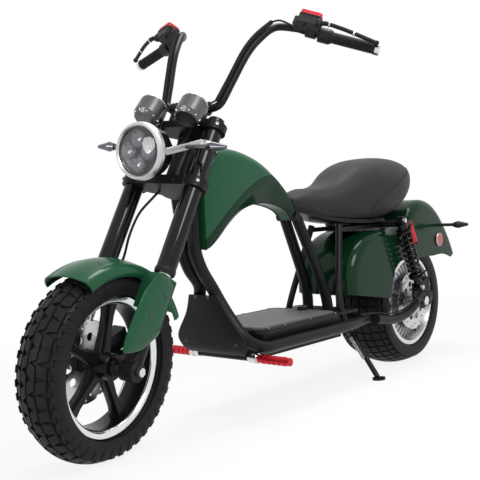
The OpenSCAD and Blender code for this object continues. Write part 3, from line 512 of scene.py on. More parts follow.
# each CAD node keeps its shape and gets its finish; what replaces one comes later
nodeFinish = {
    "satinBlack": "main_frame swingarm lower_clamp upper_clamp handlebar bar_clamps front_caliper "
                  "rear_caliper fork_feet side_stand brake_levers seat_base",
    "shellBlack": "nose_plate battery_box deck rear_panel",
    "glossBlack": "fork_tubes headlamp_bucket tank_strip shock_bodies shock_springs",
    "greenPaint": "tank front_fender",
    # the rear fender takes the darker copy of the green paint: painted shade
    "paintedShadeGreen": "rear_fender",
    "satinAlloy": "headlamp_bezel",
    "polished": "fork_sliders front_axle rear_axle bar_ends peg_clamps stand_spring",
    "castAlloy": "headlamp_stays",
    "greyMetal": "gauge_pods",
    "redAnodised": "shock_reservoirs foot_pegs reservoir_caps",
    "tyreRubber": "front_tyre rear_tyre",
    "blackRubber": "grips cable_wraps front_hose rear_hose",
    "matRubber": "deck_mat",
    "seatLeather": "seat",
    "clearLens": "headlamp_lens",
    "redLens": "tail_lamp side_reflectors",
    "darkChrome": "front_signals",
    "blackPlastic": "rear_signals master_cylinders switch_housings",
    "batteryCase": "battery",
    "castWheel": "front_rim",
    "frontDisc": "front_disc",
    "rearDisc": "rear_disc",
    "hubAlloy": "rear_hub",
}
for finishName, names in nodeFinish.items():
    for nodeName in names.split():
        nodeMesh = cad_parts[nodeName].data
        nodeMesh.materials.clear()
        nodeMesh.materials.append(finishes[finishName]["material"])
print("CAD nodes dressed")

# camera at the photo's viewing angle, in metres from the rear wheel's foot
cameraSetup = {
    "place": (2.7198, 1.6314, 0.5132), "right": (-0.64718, 0.75588, -0.09903),
    "up": (-0.06349, 0.07602, 0.99508), "back": (0.75969, 0.65029, -0.00121), "lens": 61.28,
}
camera = addObject("photoCamera", bpy.data.cameras.new("photoCamera"))
camera.data.sensor_width = 36
camera.data.lens = cameraSetup["lens"]
camera.data.clip_start = 0.05
camera.data.clip_end = 200
cameraTurn = Matrix([cameraSetup[axis] for axis in ("right", "up", "back")]).transposed().to_4x4()
camera.matrix_world = (shift(-stance["originX"], -stance["originY"])
                       @ Matrix.Translation(cameraSetup["place"]) @ cameraTurn)
scene.camera = camera

# frame pipes: routes of the left side; cross tubes as (x, half width, z, radius, sides)
framePipes = {
    "down": [(1066, 22, 742), (1088, 24, 664), (1081, 24, 590), (1079, 24, 508), (1056, 24, 448),
             (1016, 24, 392), (998, 60, 318), (982, 112, 246), (930, 134, 216), (860, 134, 214)],
    "rail": [(500, 134, 214), (410, 122, 214), (330, 104, 214)],
    "strut": [(598, 24, 570), (472, 36, 326), (464, 44, 222)],
    "stay": [(404, 56, 538.3), (488, 98, 290), (486, 118, 226)],
    "pegStay": [(949, 74, 186), (972, 108, 226)],
    "railBend": 40, "strutBend": 60, "stayBend": 40, "pipeR": 18, "stayR": 11, "pegStayR": 8, "sides": 24,
    "seatBar": ((290, 18, 15), (263, 58, 523.6)),
    "cross": [(610.4, 40, 577.2, 14, 20), (464, 126, 218, 14, 20), (949, 94, 186, 10, 18),
              (330, 125, 214, 14, 20), (153, 135.2, 528, 10, 18)],
    "standPlate": ((28, 8, 64), (334, 22, 186)), "standPivot": (338, 22, 170),
    "standBoss": [(0, -4), (14.5, -4), (14.5, 4), (0, 4)],
    "head": [(0, 528.5), (31, 528.5), (31, 540), (28, 544), (28, 660), (31, 664), (31, 675.5), (0, 675.5)],
}


def makeFrame():
    s = framePipes
    main = smoothRoute(s["down"], 8) + roundedRoute([s["down"][-1]] + s["rail"], s["railBend"])[1:]
    left = [
        sweep(main, s["pipeR"], s["sides"]),
        sweep(roundedRoute(s["strut"], s["strutBend"]), s["pipeR"], s["sides"]),
        sweep(roundedRoute(s["stay"], s["stayBend"]), s["stayR"]),
        sweep(s["pegStay"], s["pegStayR"], 14),
        block(*s["seatBar"]),
    ]
    makePiece("framePipes", left, "frame", "satinBlack", both=True, standsFor=["main_frame"])
    cross = [sweep([(x, -half, z), (x, half, z)], r, sides) for x, half, z, r, sides in s["cross"]]
    cross.append(block(*s["standPlate"]))
    cross.append(moved(lathe(s["standBoss"], 28), slide(*s["standPivot"]) @ turn("X", 90)))
    makePiece("frameCrossTubes", cross, "frame", "satinBlack")
    makePiece("headTube", [lathe(s["head"], 40)], "frame", "satinBlack", at=headAt)


# nose cover by stations from its top: outer x, outer z, half width, inner x, inner z
noseCover = {
    "stations": [(1038, 372, 54, 1029.6, 372), (1026, 318, 80, 1017.8, 318), (1016, 250, 127, 1008, 251),
                 (1006, 214, 120, 998, 218), (990, 196, 110, 986, 203)],
    "steps": 5, "across": 10, "bow": 5,
}


def makeNose():
    n = noseCover
    across = [1 - 2 * k / n["across"] for k in range(n["across"] + 1)]
    rings = []
    for outX, outZ, half, inX, inZ in smoothStations(n["stations"], n["steps"]):
        outer = [(outX - n["bow"] * c * c, half * c, outZ) for c in across]
        inner = [(inX - n["bow"] * c * c, half * c, inZ) for c in across]
        rings.append(outer + inner[::-1])
    makePiece("noseCover", [loft(rings)], "frame", "shellBlack", standsFor=["nose_plate"], bevel=2)


# swingarm: bent arms, axle plates and shock lugs; blocks as (size, middle)
swingarm = {
    "route": [(330, 142, 214), (250, 142, 200), (182, 142, 197), (110, 142, 208), (44, 142, 234)],
    "radius": 16, "axle": (0, 142, 238), "boss": [(0, -6), (28, -6), (30, -4), (30, 4), (28, 6), (0, 6)],
    "plate": ((108, 12, 36), (-8, 142, 236)), "lug": ((30, 8, 74), (40, 134.6, 269)),
}


def makeSwingarm():
    s = swingarm
    left = [
        sweep(smoothRoute(s["route"], 8), s["radius"], 22),
        moved(lathe(s["boss"], 40), slide(*s["axle"]) @ turn("X", 90)),
        block(*s["plate"]),
        block(*s["lug"]),
    ]
    makePiece("swingarmArms", left, "frame", "satinBlack", both=True, standsFor=["swingarm"])


makeFrame()
makeNose()
makeSwingarm()
print("frame made")

# tank shell by stations: x, low z, crease z, top z, half width, half width of the underside
tank = {
    "stations": [
        (1059.4, 503, 508, 690, 52, 46), (1034, 513, 530, 748, 57, 46), (1000, 535, 560, 783, 60, 44),
        (950, 574, 600, 787, 62, 42), (900, 604, 634, 781, 63, 40), (850, 620, 662, 768, 62, 37),
        (800, 626, 680, 749, 60, 34), (750, 624, 684, 722, 55, 31), (700, 614, 658, 688, 48, 28),
        (658, 598, 632, 650, 41, 25), (625, 568, 590, 600, 34, 22)],
    "steps": 5, "arc": 10, "flankOut": 0.9, "flankUp": 0.86, "creaseUp": 4,
    "crownOfWidth": 0.5, "crownOfHeight": 0.8,
}
tankRows = smoothStations(tank["stations"], tank["steps"])


def tankFlank(row):
    x, low, crease, top, wide, under = row
    bulge = (under + tank["flankOut"] * (wide - under), low + tank["flankUp"] * (crease - low))
    return [(under, low), bulge, (wide, crease + tank["creaseUp"])]


def tankRing(row):
    x, low, crease, top, wide, under = row
    r = min(tank["crownOfWidth"] * wide, tank["crownOfHeight"] * (top - crease))
    half = tankFlank(row)
    half += [(wide - r + r * math.cos(a), top - r + r * math.sin(a)) for a in arc(tank["arc"], 90)]
    return [(x, y, z) for y, z in half] + [(x, -y, z) for y, z in reversed(half)]


# painted shade: a darker green band under the tank's crease, a thin skin over both sides where the
# underside falls in shade, and a bead along the lower edge
tankBand = {
    "raise": 0.6, "inward": 3, "height": 24, "heightShare": 0.55, "overlap": 0.4, "edge": 2.6,
    "innerCrease": 6, "innerFlank": 0.9, "innerLow": 2,
}


def makeTank():
    makePiece("tankShell", [loft([tankRing(row) for row in tankRows])], "frame", "greenPaint",
              standsFor=["tank"], crease=50, bevel=1.2)
    b = tankBand
    rings = []
    for row in tankRows:
        x, low, crease, top, wide, under = row
        bulge, corner = tankFlank(row)[1:]
        rise = crease + min(b["height"], b["heightShare"] * (top - crease))
        outer = [(under, low - b["overlap"]), bulge, corner, (wide, rise)]
        inner = [(wide, rise), (wide, crease + b["innerCrease"]),
                 (bulge[0], low + b["innerFlank"] * (crease - low)), (under, low + b["innerLow"])]
        rings.append([(x, y + b["raise"], z) for y, z in outer]
                     + [(x, y - b["inward"], z) for y, z in inner])
    # the band is painted shade, in the darker copy of the green paint
    makePiece("tankBand", [loft(rings)], "frame", "paintedShadeGreen", both=True)


# rear fender by stations round the axle: angle, outer radius, radius of the lower edge
rearFender = {
    "stations": [
        (9, 438, 186), (20, 452, 186), (32, 436, 190), (45, 385, 198), (57, 322, 184), (69, 299, 166),
        (80, 302, 158), (90, 342, 155), (100, 376, 157), (110, 390, 165), (120, 389, 179), (134, 378, 215),
        (146, 374, 277), (154.5, 374, 322)],
    "steps": 4, "arc": 8, "halfWidth": 119, "shoulder": 36, "wall": 4,
}


def fenderSkin(radius, edge, sink):
    w, s = rearFender["halfWidth"] - sink, rearFender["shoulder"] - sink
    r = radius - sink
    curve = [(r - s + s * math.sin(a), w - s + s * math.cos(a)) for a in arc(rearFender["arc"], 90)]
    return bothSides([(edge, w)] + curve)


def makeRearFender():
    rings = []
    for angle, radius, edge in smoothStations(rearFender["stations"], rearFender["steps"]):
        a = math.radians(angle)
        ring = fenderSkin(radius, edge, 0) + fenderSkin(radius, edge, rearFender["wall"])[::-1]
        rings.append([(r * math.cos(a), y, stance["rearAxle"] + r * math.sin(a)) for r, y in ring])
    # painted shade: the fender is finished in the darker copy of the green paint
    makePiece("rearFenderShell", [shell(rings)], "frame", "paintedShadeGreen", standsFor=["rear_fender"], crease=50)


# front fender: a revolved shell, with domed guards over the fork's lower legs
frontFender = {
    "from": 62, "to": 157, "steps": 48, "radius": 268, "halfWidth": 76, "wall": 4,
    "skirt": 38, "shoulderDrop": 34, "shoulder": 26, "crownHalf": 48, "crownStep": 6, "crownFlat": 288,
    "guard": [(-26, 246), (44, 247), (78, 186), (86, 130), (90, 60), (84, 22), (70, 22), (20, 48),
              (-26, 106)],
    "guardY": 123.3, "guardMiddle": (34, 136, 0), "guardCorner": 16,
    "guardLayers": [(1, 0), (1, 3.5), (0.97, 5), (0.8, 8.5), (0.5, 10), (0.12, 10.5)],  # scale, height
    "web": ((8, 52.3, 94), (39, 99.65, 197)),
}


def frontSkin(sink):
    f = frontFender
    r, w, s = f["radius"] - sink, f["halfWidth"] - sink, f["shoulder"]
    side = [(r - f["skirt"], w)]
    side += [(r - f["shoulderDrop"] + s * math.cos(a), w - s + s * math.sin(a))
             for a in reversed(arc(12, 90))]
    across = range(f["crownHalf"], -f["crownHalf"] - 1, -f["crownStep"])
    crown = [(r - y * y / f["crownFlat"], y) for y in across]
    return side + crown + [(x, -y) for x, y in reversed(side)]


def makeFrontFender():
    f = frontFender
    ring = frontSkin(0) + frontSkin(f["wall"])[::-1]
    rings = []
    for i in range(f["steps"] + 1):
        a = math.radians(f["from"] - stance["rake"] + (f["to"] - f["from"]) * i / f["steps"])
        rings.append([(r * math.cos(a), y, r * math.sin(a)) for r, y in ring])
    makePiece("frontFenderShell", [shell(rings)], "steering", "greenPaint", at=forkAt,
              standsFor=["front_fender"], crease=50)
    corners = [(x, z, 0) for x, z in f["guard"]]
    edge = roundedRoute(corners + corners[:1], f["guardCorner"], 4)[:-1]
    middle = Vector(f["guardMiddle"])
    rings = []
    for scale, height in f["guardLayers"]:
        rings.append([(q.x, f["guardY"] + height, q.y) for q in [middle.lerp(e, scale) for e in edge]])
    makePiece("forkGuards", [loft(rings), block(*f["web"])], "steering", "greenPaint", at=forkAt, both=True,
              crease=45)


makeTank()
makeRearFender()
makeFrontFender()
print("body panels made")

# seat by stations, swollen by cloth pressure, then smoothed: x, low z, high z, half width
seat = {
    "stations": [
        (634, 617, 646, 34), (622, 607, 659, 52), (560, 592, 664, 74), (480, 574, 665, 90),
        (400, 562, 684, 106), (320, 554, 728, 126), (240, 550, 758, 142), (160, 552, 771, 149),
        (100, 562, 775, 148), (44, 592, 771, 138), (2, 634, 752, 116), (-20, 668, 724, 78)],
    "sides": 32, "steps": 3, "squareness": 0.8, "shrink": 6, "voxel": 6, "pressure": 4, "frames": 20,
    "cap": 9, "smoothing": 3,
}
seatRows = smoothStations(seat["stations"], seat["steps"])


def squared(value):
    return math.copysign(abs(value) ** seat["squareness"], value)


def seatRing(row):
    x, low, high, wide = row
    ring = []
    for a in arc(seat["sides"])[:-1]:
        rise = (high - low) / 2 - (seat["shrink"] if math.sin(a) > 0 else 0)
        y = (wide - seat["shrink"]) * squared(math.cos(a))
        ring.append((x, y, (low + high) / 2 + rise * squared(math.sin(a))))
    return ring


def swell(pad, start):
    # cloth pressure moves each point by at most the cap
    for f in range(1, seat["frames"] + 1):
        scene.frame_set(f)
    swollen = evaluatedMesh(pad)
    scene.frame_set(1)
    for v, w in zip(start.vertices, swollen.vertices):
        step = w.co - v.co
        if step.length > seat["cap"] * mm:
            step *= seat["cap"] * mm / step.length
        v.co += step
    bpy.data.meshes.remove(swollen)


def makeSeat():
    pad = addObject("seatPad", meshOf("seatPad", [loft([seatRing(row) for row in seatRows])], [bikeAt]))
    remesh = pad.modifiers.new("voxels", "REMESH")
    remesh.mode = "VOXEL"
    remesh.voxel_size = seat["voxel"] * mm
    cloth = pad.modifiers.new("swell", "CLOTH")
    cloth.settings.use_pressure = True
    cloth.settings.uniform_pressure_force = seat["pressure"]
    cloth.settings.effector_weights.gravity = 0
    cloth.point_cache.frame_start = 1
    cloth.point_cache.frame_end = seat["frames"]
    cushion = evaluatedMesh(pad)
    swell(pad, cushion)
    bm = bmesh.new()
    bm.from_mesh(cushion)
    for _ in range(seat["smoothing"]):
        bmesh.ops.smooth_vert(bm, verts=bm.verts, factor=0.5, use_axis_x=True, use_axis_y=True,
                              use_axis_z=True)
    bm.to_mesh(cushion)
    bpy.data.objects.remove(pad, do_unlink=True)
    cushion.materials.clear()
    piece = setPiece("seatCushion", cushion, "frame", "seatLeather", standsFor=["seat"], crease=180)
    surface = BVHTree.FromBMesh(bm)
    bm.free()
    return surface


# seam between the seat's top and its rear panel, as (place along, angle round the section)
seatSeam = {
    "line": [(262, -64), (262, -44), (258, -27), (240, -13), (190, 0), (134, 8), (90, 15), (44, 24),
             (6, 42), (-14, 90)],
    "radius": 1.9, "lift": 0.5, "stitchGap": 6.5, "stitchBelow": 4.5,
    "stitch": [(0, -2.1), (0.75, -1.5), (0.75, 1.5), (0, 2.1)],
}


def seamRoute(surface, below):
    half = []
    for x, angle in seatSeam["line"]:
        after = next(k for k in range(1, len(seatRows)) if seatRows[k][0] <= x or k == len(seatRows) - 1)
        one, two = seatRows[after - 1], seatRows[after]
        t = (one[0] - x) / (one[0] - two[0])
        low, high, wide = (one[i] + (two[i] - one[i]) * t for i in (1, 2, 3))
        a = math.radians(angle - below)
        z = (low + high) / 2 + (high - low) / 2 * squared(math.sin(a))
        half.append((x, wide * squared(math.cos(a)), z))
    route = []
    for p in smoothRoute(half + [(x, -y, z) for x, y, z in reversed(half[:-1])], 6):
        place, normal, _, _ = surface.find_nearest(bikeAt @ (p * mm))
        route.append(bikeAt.inverted() @ (place + normal * seatSeam["lift"] * mm) / mm)
    return route


def makeSeatSeam(surface):
    q = seatSeam
    makePiece("seatPiping", [sweep(seamRoute(surface, 0), q["radius"], 8)], "frame", "seatLeather")
    stitchRoute = seamRoute(surface, q["stitchBelow"])
    routePiece("seatStitches", [lathe(q["stitch"], 6)], stitchRoute, q["stitchGap"], "frame", "blackRubber",
               [bikeAt])


makeSeatSeam(makeSeat())
print("seat made")

# handlebar and controls; the tails are bare cable from the wrap to the brake cylinder and the headlamp
bars = {
    "bend": [(0, 64, 752), (-2, 92, 770), (0, 108, 840), (2, 126, 925), (-8, 142, 985), (-34, 164, 1046),
             (-78, 199, 1075), (-89, 225, 1073)],
    "gripEnd": (-172, 420, 1056), "radius": 11, "gripBore": 11.3, "gripRadius": 16.5, "gripStart": 78.4,
    "ribGap": 5.4, "wrapAhead": [18.2, 18.2, 18.4, 19.5, 24], "wrapRadius": 5.6, "wrapPitch": 5.2,
    "wrapSlant": 14,
    "wrapTurn": [(-1.5, -1.7), (0.5, -1.2), (0.9, 0), (0.5, 1.2), (-1.5, 1.7)],
    "lever": [(0, -50, 48.7), (0, -58, 70), (0, -52, 120), (0, -40, 170), (0, -28, 214)], "leverTip": 8,
    "pivot": [(0, -9), (9, -9), (10, -7), (10, 7), (9, 9), (0, 9)], "pivotAt": (0, -50, 46),
    "tailTop": [(-10, 164, 1046), (-20, 184, 1058), (-36, 210, 1054), (-50, 232, 1046), (-55, 247, 1064)],
    "tailLow": [(16.2, 92, 770), (25, 74, 748), (26, 62, 728), (33, 56, 700), (33, 54, 665), (38, 48, 625),
                (58, 36, 585)],
    "tailRadius": 2.8,
}
gripFrom, gripTo = Vector(bars["bend"][-1]), Vector(bars["gripEnd"])
gripLine = (gripTo - gripFrom).normalized()
gripLength = (gripTo - gripFrom).length
gripTurn = (turn("Z", math.degrees(math.atan2(gripLine.y, gripLine.x)))
            @ turn("Y", math.degrees(math.acos(gripLine.z))))
gripAt = forkAt @ Matrix.Translation(gripFrom * mm) @ gripTurn
gripRight = otherSide(forkAt, gripAt)
leverRoute = smoothRoute(bars["lever"], 8)


def gripProfile():
    r, bore, start = bars["gripRadius"], bars["gripBore"], bars["gripStart"]
    profile = [(bore, start), (r + 3, start), (r + 3, start + 5), (r - 0.6, start + 8)]
    z = start + 12
    while z < gripLength - 10:
        profile += [(r - 1.4, z), (r, z + 0.8), (r, z + 3), (r - 1.4, z + 3.8)]
        z += bars["ribGap"]
    return profile + [(r - 0.4, gripLength - 5), (r + 0.6, gripLength - 3), (r + 0.6, gripLength),
                      (bore, gripLength)]


def makeBars():
    s = bars
    half = smoothRoute(s["bend"], 8)
    half = half + [half[-1].lerp(gripTo, t) for t in (0.04, 0.5, 1)]
    full = [Vector((p.x, -p.y, p.z)) for p in reversed(half)] + half
    makePiece("handlebarTube", [sweep(full, s["radius"], 22)], "steering", "satinBlack", at=forkAt,
              standsFor=["handlebar"])
    makePiece("gripSleeves", [lathe(gripProfile(), 36, closed=True)], "steering", "blackRubber", at=gripAt,
              other=gripRight, standsFor=["grips"])
    width = [6 + 1.2 * math.sin(math.pi * min(1, k / 10)) for k in range(len(leverRoute))]
    ball = lathe([(s["leverTip"] * math.sin(a), -s["leverTip"] * math.cos(a)) for a in arc(8, 180)], 16)
    lever = [sweep(leverRoute, width, 14), moved(ball, slide(*leverRoute[-1])),
             moved(lathe(s["pivot"], 24), slide(*s["pivotAt"]) @ turn("Y", 90))]
    makePiece("leverBlades", lever, "steering", "satinBlack", at=gripAt, other=gripRight,
              standsFor=["brake_levers"])
    wrap = smoothRoute([(x + ahead, y, z) for (x, y, z), ahead in zip(s["bend"][1:], s["wrapAhead"])], 8)
    makePiece("cableCores", [sweep(wrap, s["wrapRadius"] - 1, 12)], "steering", "blackRubber", at=forkAt,
              both=True, standsFor=["cable_wraps"])
    tails = [sweep(smoothRoute(s[end], 6), s["tailRadius"], 10) for end in ("tailTop", "tailLow")]
    makePiece("cableTails", tails, "steering", "blackRubber", at=forkAt, both=True)
    ring = lathe([(s["wrapRadius"] + r, z) for r, z in s["wrapTurn"]], 16, closed=True)
    routePiece("cableSpirals", [moved(ring, turn("X", s["wrapSlant"]))], wrap, s["wrapPitch"], "steering",
               "blackRubber", [forkAt, forkAt @ flipY])


makeBars()
print("bars made")

# tyres: a carcass with tread blocks; each block is (middle along, middle across, length, width, slant)
frontTyre = {
    "radius": 243, "width": 124, "crown": 74, "lip": 177, "rim": 88, "depth": 6.5, "pitches": 21,
    "span": 72,
    "blocks": [(18, 10, 31, 22, 12), (54, 10, 31, 22, -12), (36, -13, 31, 21, 12), (0, -13, 31, 21, -12),
               (18, 34, 30, 23, 9), (54, 34, 30, 23, -9), (36, -36, 30, 22, 9), (0, -36, 30, 22, -9),
               (27, 54, 27, 14, 4), (63, 54, 27, 14, -4), (27, -54, 27, 14, -4), (63, -54, 27, 14, 4)],
}
rearTyre = {
    "radius": 238, "width": 206, "crown": 190, "lip": 165, "rim": 190, "depth": 5.5, "pitches": 44,
    "span": 34,
    "blocks": [(17, 0, 31, 26, 4), (17, 31, 29, 26, 6), (17, -31, 29, 26, -6), (17, 62, 29, 26, 6),
               (17, -62, 29, 26, -6), (17, 87, 26, 15, 3), (17, -87, 26, 15, -3)],
}
tyreForm = {
    "shoulder": 10, "blockInset": 1.4, "blockSink": 2, "edgeFall": 1.6, "edgeGap": 1.5, "steps": 120,
}


def treadHalf(t):
    return t["width"] / 2 - tyreForm["shoulder"]


def crownRadius(t, y):
    y = min(abs(y), treadHalf(t))
    return t["radius"] - t["crown"] + math.sqrt(t["crown"] ** 2 - y * y)


def tyreProfile(t):
    half, lip, rim = t["width"] / 2, t["lip"], t["rim"] / 2
    top = crownRadius(t, half)
    side = [(lip - 11, rim - 8), (lip + 1, rim - 8), (lip + 6, rim + 2)]
    for a in range(-40, 41, 10):
        reach = 0.9 * (top - lip) / 2 * math.sin(math.radians(a)) / math.sin(math.radians(40))
        bulge = tyreForm["shoulder"] * (1 - math.cos(math.radians(1.2 * a)))
        side.append(((lip + top) / 2 + reach, half - bulge))
    across = [treadHalf(t) * k / 12 for k in range(12, -1, -1)]
    return bothSides(side + [(crownRadius(t, y) - t["depth"], y) for y in across], shared=1)


def treadBlock(t, along, across, length, width, slant):
    form = tyreForm
    nAlong, nAcross = 2, 4
    base, top = [], []
    for layer, inset, drop in ((base, 0, t["depth"] + form["blockSink"]), (top, form["blockInset"], 0)):
        for i in range(nAlong + 1):
            for j in range(nAcross + 1):
                u = (i / nAlong - 0.5) * (length - 2 * inset)
                v = (j / nAcross - 0.5) * (width - 2 * inset)
                y = across + v
                a = (along + u + slant * v / width) / t["radius"]
                r = crownRadius(t, y) - drop - max(0, abs(y) - treadHalf(t)) * form["edgeFall"]
                y = math.copysign(min(abs(y), t["width"] / 2 - form["edgeGap"]), y)
                layer.append(Vector((r * math.cos(a), r * math.sin(a), y)))
    n = nAcross + 1
    total = len(base)
    faces = []
    for i in range(nAlong):
        for j in range(nAcross):
            q = (i * n + j, (i + 1) * n + j, (i + 1) * n + j + 1, i * n + j + 1)
            faces.append(tuple(total + k for k in q))
            faces.append(tuple(reversed(q)))
    rim = list(range(n)) + [i * n + n - 1 for i in range(1, nAlong + 1)]
    rim += [nAlong * n + j for j in range(n - 2, -1, -1)] + [i * n for i in range(nAlong - 1, 0, -1)]
    for a, b in zip(rim, rim[1:] + rim[:1]):
        faces.append((a, b, total + b, total + a))
    return base + top, faces


def makeTyre(name, t, body, at, node):
    carcass = lathe(tyreProfile(t), tyreForm["steps"], closed=True)
    makePiece(name + "Carcass", [carcass], body, "tyreRubber", at=at, standsFor=[node])
    scale = 2 * math.pi * t["radius"] / t["pitches"] / t["span"]
    shapes = [treadBlock(t, b[0] * scale, b[1], b[2] * scale, b[3], b[4]) for b in t["blocks"]]
    ringPiece(name + "Tread", shapes, t["pitches"], body, "tyreRubber", [at], crease=30)


# lugs that carry the front tread down its sidewalls: radius, distance from the middle, half width, height
sideLugs = {
    "count": 42, "start": 3, "sink": 2, "bevel": 1.5,
    "line": [(224, 56.5, 10, 1.8), (214, 60.5, 8.4, 1.8), (204, 62.2, 6.8, 1.8), (197, 62.2, 5.2, 0.2)],
}


def makeSideLugs():
    s = sideLugs
    rings = []
    for r, y, w, high in s["line"]:
        foot, top, out = y - s["sink"], w - s["bevel"], r + 0.3
        rings.append([(r, -w, foot), (r, w, foot), (out, top, y + high), (out, -top, y + high)])
    ringPiece("frontTyreSideLugs", [loft(rings)], s["count"], "front_wheel", "tyreRubber",
              [frontWheelAt, frontWheelAt @ turn("X", 180)], start=s["start"])


makeSideLugs()
makeTyre("frontTyre", frontTyre, "front_wheel", frontWheelAt, "front_tyre")
makeTyre("rearTyre", rearTyre, "rear_wheel", rearWheelAt, "rear_tyre")
print("tyres made")

# front rim: halves of the lipped barrel and the hub, and waisted spokes as (radius, half width, half depth)
frontRim = {
    "barrel": [(155, 30), (157, 36), (163, 43), (165, 44), (175.5, 44), (177, 42.5), (177, 37),
               (165.5, 36.5)],
    "hub": [(7.7, 60), (22, 60), (24, 58), (24, 47), (32, 46), (34, 44)], "spokes": 5,
    "spoke": [(22, 17, 18), (50, 13.5, 17), (90, 10.5, 15), (125, 11.5, 15), (148, 15, 17), (157, 19, 18)],
    "section": [(1, 0.6), (0.75, 1), (-0.75, 1), (-1, 0.6), (-1, -0.6), (-0.75, -1), (0.75, -1), (1, -0.6)],
}


def makeFrontRim():
    f = frontRim
    turned = [lathe(bothSides(f["barrel"]), 96, closed=True), lathe(bothSides(f["hub"]), 48, closed=True)]
    makePiece("frontRimBarrel", turned, "front_wheel", "castWheel", at=frontWheelAt,
              standsFor=["front_rim"], crease=30)
    spoke = loft([[(x, w * c, d * q) for c, q in f["section"]] for x, w, d in f["spoke"]])
    ringPiece("frontRimSpokes", [spoke], f["spokes"], "front_wheel", "castWheel", [frontWheelAt], crease=40)


# hub motor: cooling fins on both covers, as (radius, low, high)
hubMotor = {"fins": 36, "fin": [(50, 80, 86), (112, 74, 83), (136, 64, 72)], "foot": 1.6, "top": 1.2}


def makeHub():
    h = hubMotor
    fin = loft([[(r, -h["foot"], low), (r, h["foot"], low), (r, h["top"], high), (r, -h["top"], high)]
                for r, low, high in h["fin"]])
    ringPiece("hubFins", [fin], h["fins"], "rear_wheel", "castAlloy",
              [rearWheelAt, rearWheelAt @ turn("X", 180)])


makeFrontRim()
makeHub()

# springs of the shocks and of the stand
springs = {
    "top": (153, 152, 540), "low": (40, 152, 292), "from": 52, "endGap": 44, "radius": 26, "wire": 4.5,
    "turns": 8,
}
standSpring = {
    "top": (338, 38, 170), "legLine": (8, 109.6, -149.5), "beside": (15.4, 0, 0), "from": 0.14, "to": 0.6,
    "radius": 6, "wire": 1.5, "turns": 22,
}
shockLine = Vector(springs["top"]) - Vector(springs["low"])
shockAt = bikeAt @ shift(*springs["low"]) @ turn("Y", math.degrees(math.atan2(shockLine.x, shockLine.z)))


def coil(s, length, steps=24, sides=10):
    r, n = s["radius"] - s["wire"], s["turns"] * steps
    angles = arc(n, 360 * s["turns"])
    route = [(r * math.cos(a), r * math.sin(a), length * i / n) for i, a in enumerate(angles)]
    return sweep(route, s["wire"], sides)


def makeSprings():
    s = springs
    rise = shockLine.length - s["endGap"] - s["from"] - 2 * s["wire"]
    at = shockAt @ shift(0, 0, s["from"] + s["wire"])
    makePiece("shockCoils", [coil(s, rise)], "frame", "glossBlack", at=at, other=otherSide(bikeAt, at),
              standsFor=["shock_springs"])
    q = standSpring
    leg = Vector(q["legLine"])
    start = Vector(q["top"]) + Vector(q["beside"]) + leg * q["from"]
    facing = leg.to_track_quat("Z", "Y").to_matrix().to_4x4()
    makePiece("standCoil", [coil(q, (q["to"] - q["from"]) * leg.length, 16, 8)], "stand", "castAlloy",
              at=bikeAt @ shift(*start) @ facing, standsFor=["stand_spring"])


makeSprings()
print("springs made")

# brake hoses: smooth runs from the clamp or the frame to the calipers
hoses = {
    "front": [(-14, -20, 499.4), (-6, -30, 470), (0, -50, 420), (-8, -63, 360), (-30, -76, 310),
              (-40, -86, 270), (-42, -92, 200), (-54, -93, 140), (-66, -86, 100), (-70, -68.7, 84)],
    "rear": [(-72, 113, 308.6), (-66, 113, 326), (-74, 122, 342), (-58, 139, 334), (-30, 152, 300),
             (10, 154, 273), (50, 151, 259), (110, 146, 232), (180, 143, 220), (250, 143, 221),
             (330, 134, 234), (400, 124, 236)],
    "radius": 3.5,
}
for hoseName, hoseBody, hosePlace in (("front", "steering", forkAt), ("rear", "frame", bikeAt)):
    hose = sweep(smoothRoute(hoses[hoseName], 8), hoses["radius"], 12)
    makePiece(hoseName + "BrakeHose", [hose], hoseBody, "blackRubber", at=hosePlace,
              standsFor=[hoseName + "_hose"])
print("hoses made")

# headlamp: clear glass over a bowl with cups of light
headlamp = {
    "place": (136, 0, 535), "cups": 4, "cupRing": 32, "cupStart": 45, "steps": 56,
    "glass": [(0, 13), (22, 12), (44, 9), (63.6, 2), (63.6, -1), (44, 6), (22, 9.4), (0, 10.4)],
    "bowl": [(0, -11.8), (63.4, -11.8), (63.4, -1.4), (60, -1.4), (57, -7), (54, -8.5), (0, -8.5)],
    "cup": [(3.4, -8), (13.2, -6), (18.7, -2.6), (22, 1.2), (23, 1.2), (23, -8.4), (3.4, -8.4)],
    "dome": [(0, -4.4), (2, -4.8), (3.3, -6.4), (3.3, -8.4), (0, -8.4)],
}
lampAt = forkAt @ shift(*headlamp["place"]) @ turn("Y", 90 + stance["rake"])


def makeHeadlamp():
    h = headlamp
    makePiece("headlampGlass", [lathe(h["glass"], h["steps"])], "steering", "clearLens", at=lampAt,
              standsFor=["headlamp_lens"])
    makePiece("headlampBowl", [lathe(h["bowl"], h["steps"])], "steering", "glossBlack", at=lampAt)
    for name, shape, finish in (("headlampCups", lathe(h["cup"], 24, closed=True), "darkChrome"),
                                ("headlampLights", lathe(h["dome"], 16), "lightDome")):
        ringPiece(name, [shape], h["cups"], "steering", finish, [lampAt], radius=h["cupRing"],
                  start=h["cupStart"])


makeHeadlamp()

# gauges: rims, dials with marks and needles, heights from the top, and bright studs round the bases
gauge = {
    "place": (84, 70, 664), "tilt": -12, "height": 62, "steps": 48, "rim": (35, -0.8, 2, 10),
    "face": [(0, 0.6), (32.6, 0.3), (33.4, -0.2), (0, -0.2)],
    "marks": 25, "mark": ((4.5, 0.9, 0.3), (27, 0, 0.7)),
    "needle": [(-5, -1.2), (-5, 1.2), (22, 0.3), (22, -0.3)], "needleLow": 0.9, "needleHigh": 1.4,
    "studs": 10, "stud": [(0, 2.2), (1.5, 1.8), (2.3, 0.2), (2.3, -2), (0, -2)], "studAt": (35.6, 0, 6.4),
    "studTilt": 56,
}
gaugeAt = forkAt @ shift(*gauge["place"]) @ turn("Y", gauge["tilt"])
gaugeRight = otherSide(forkAt, gaugeAt)


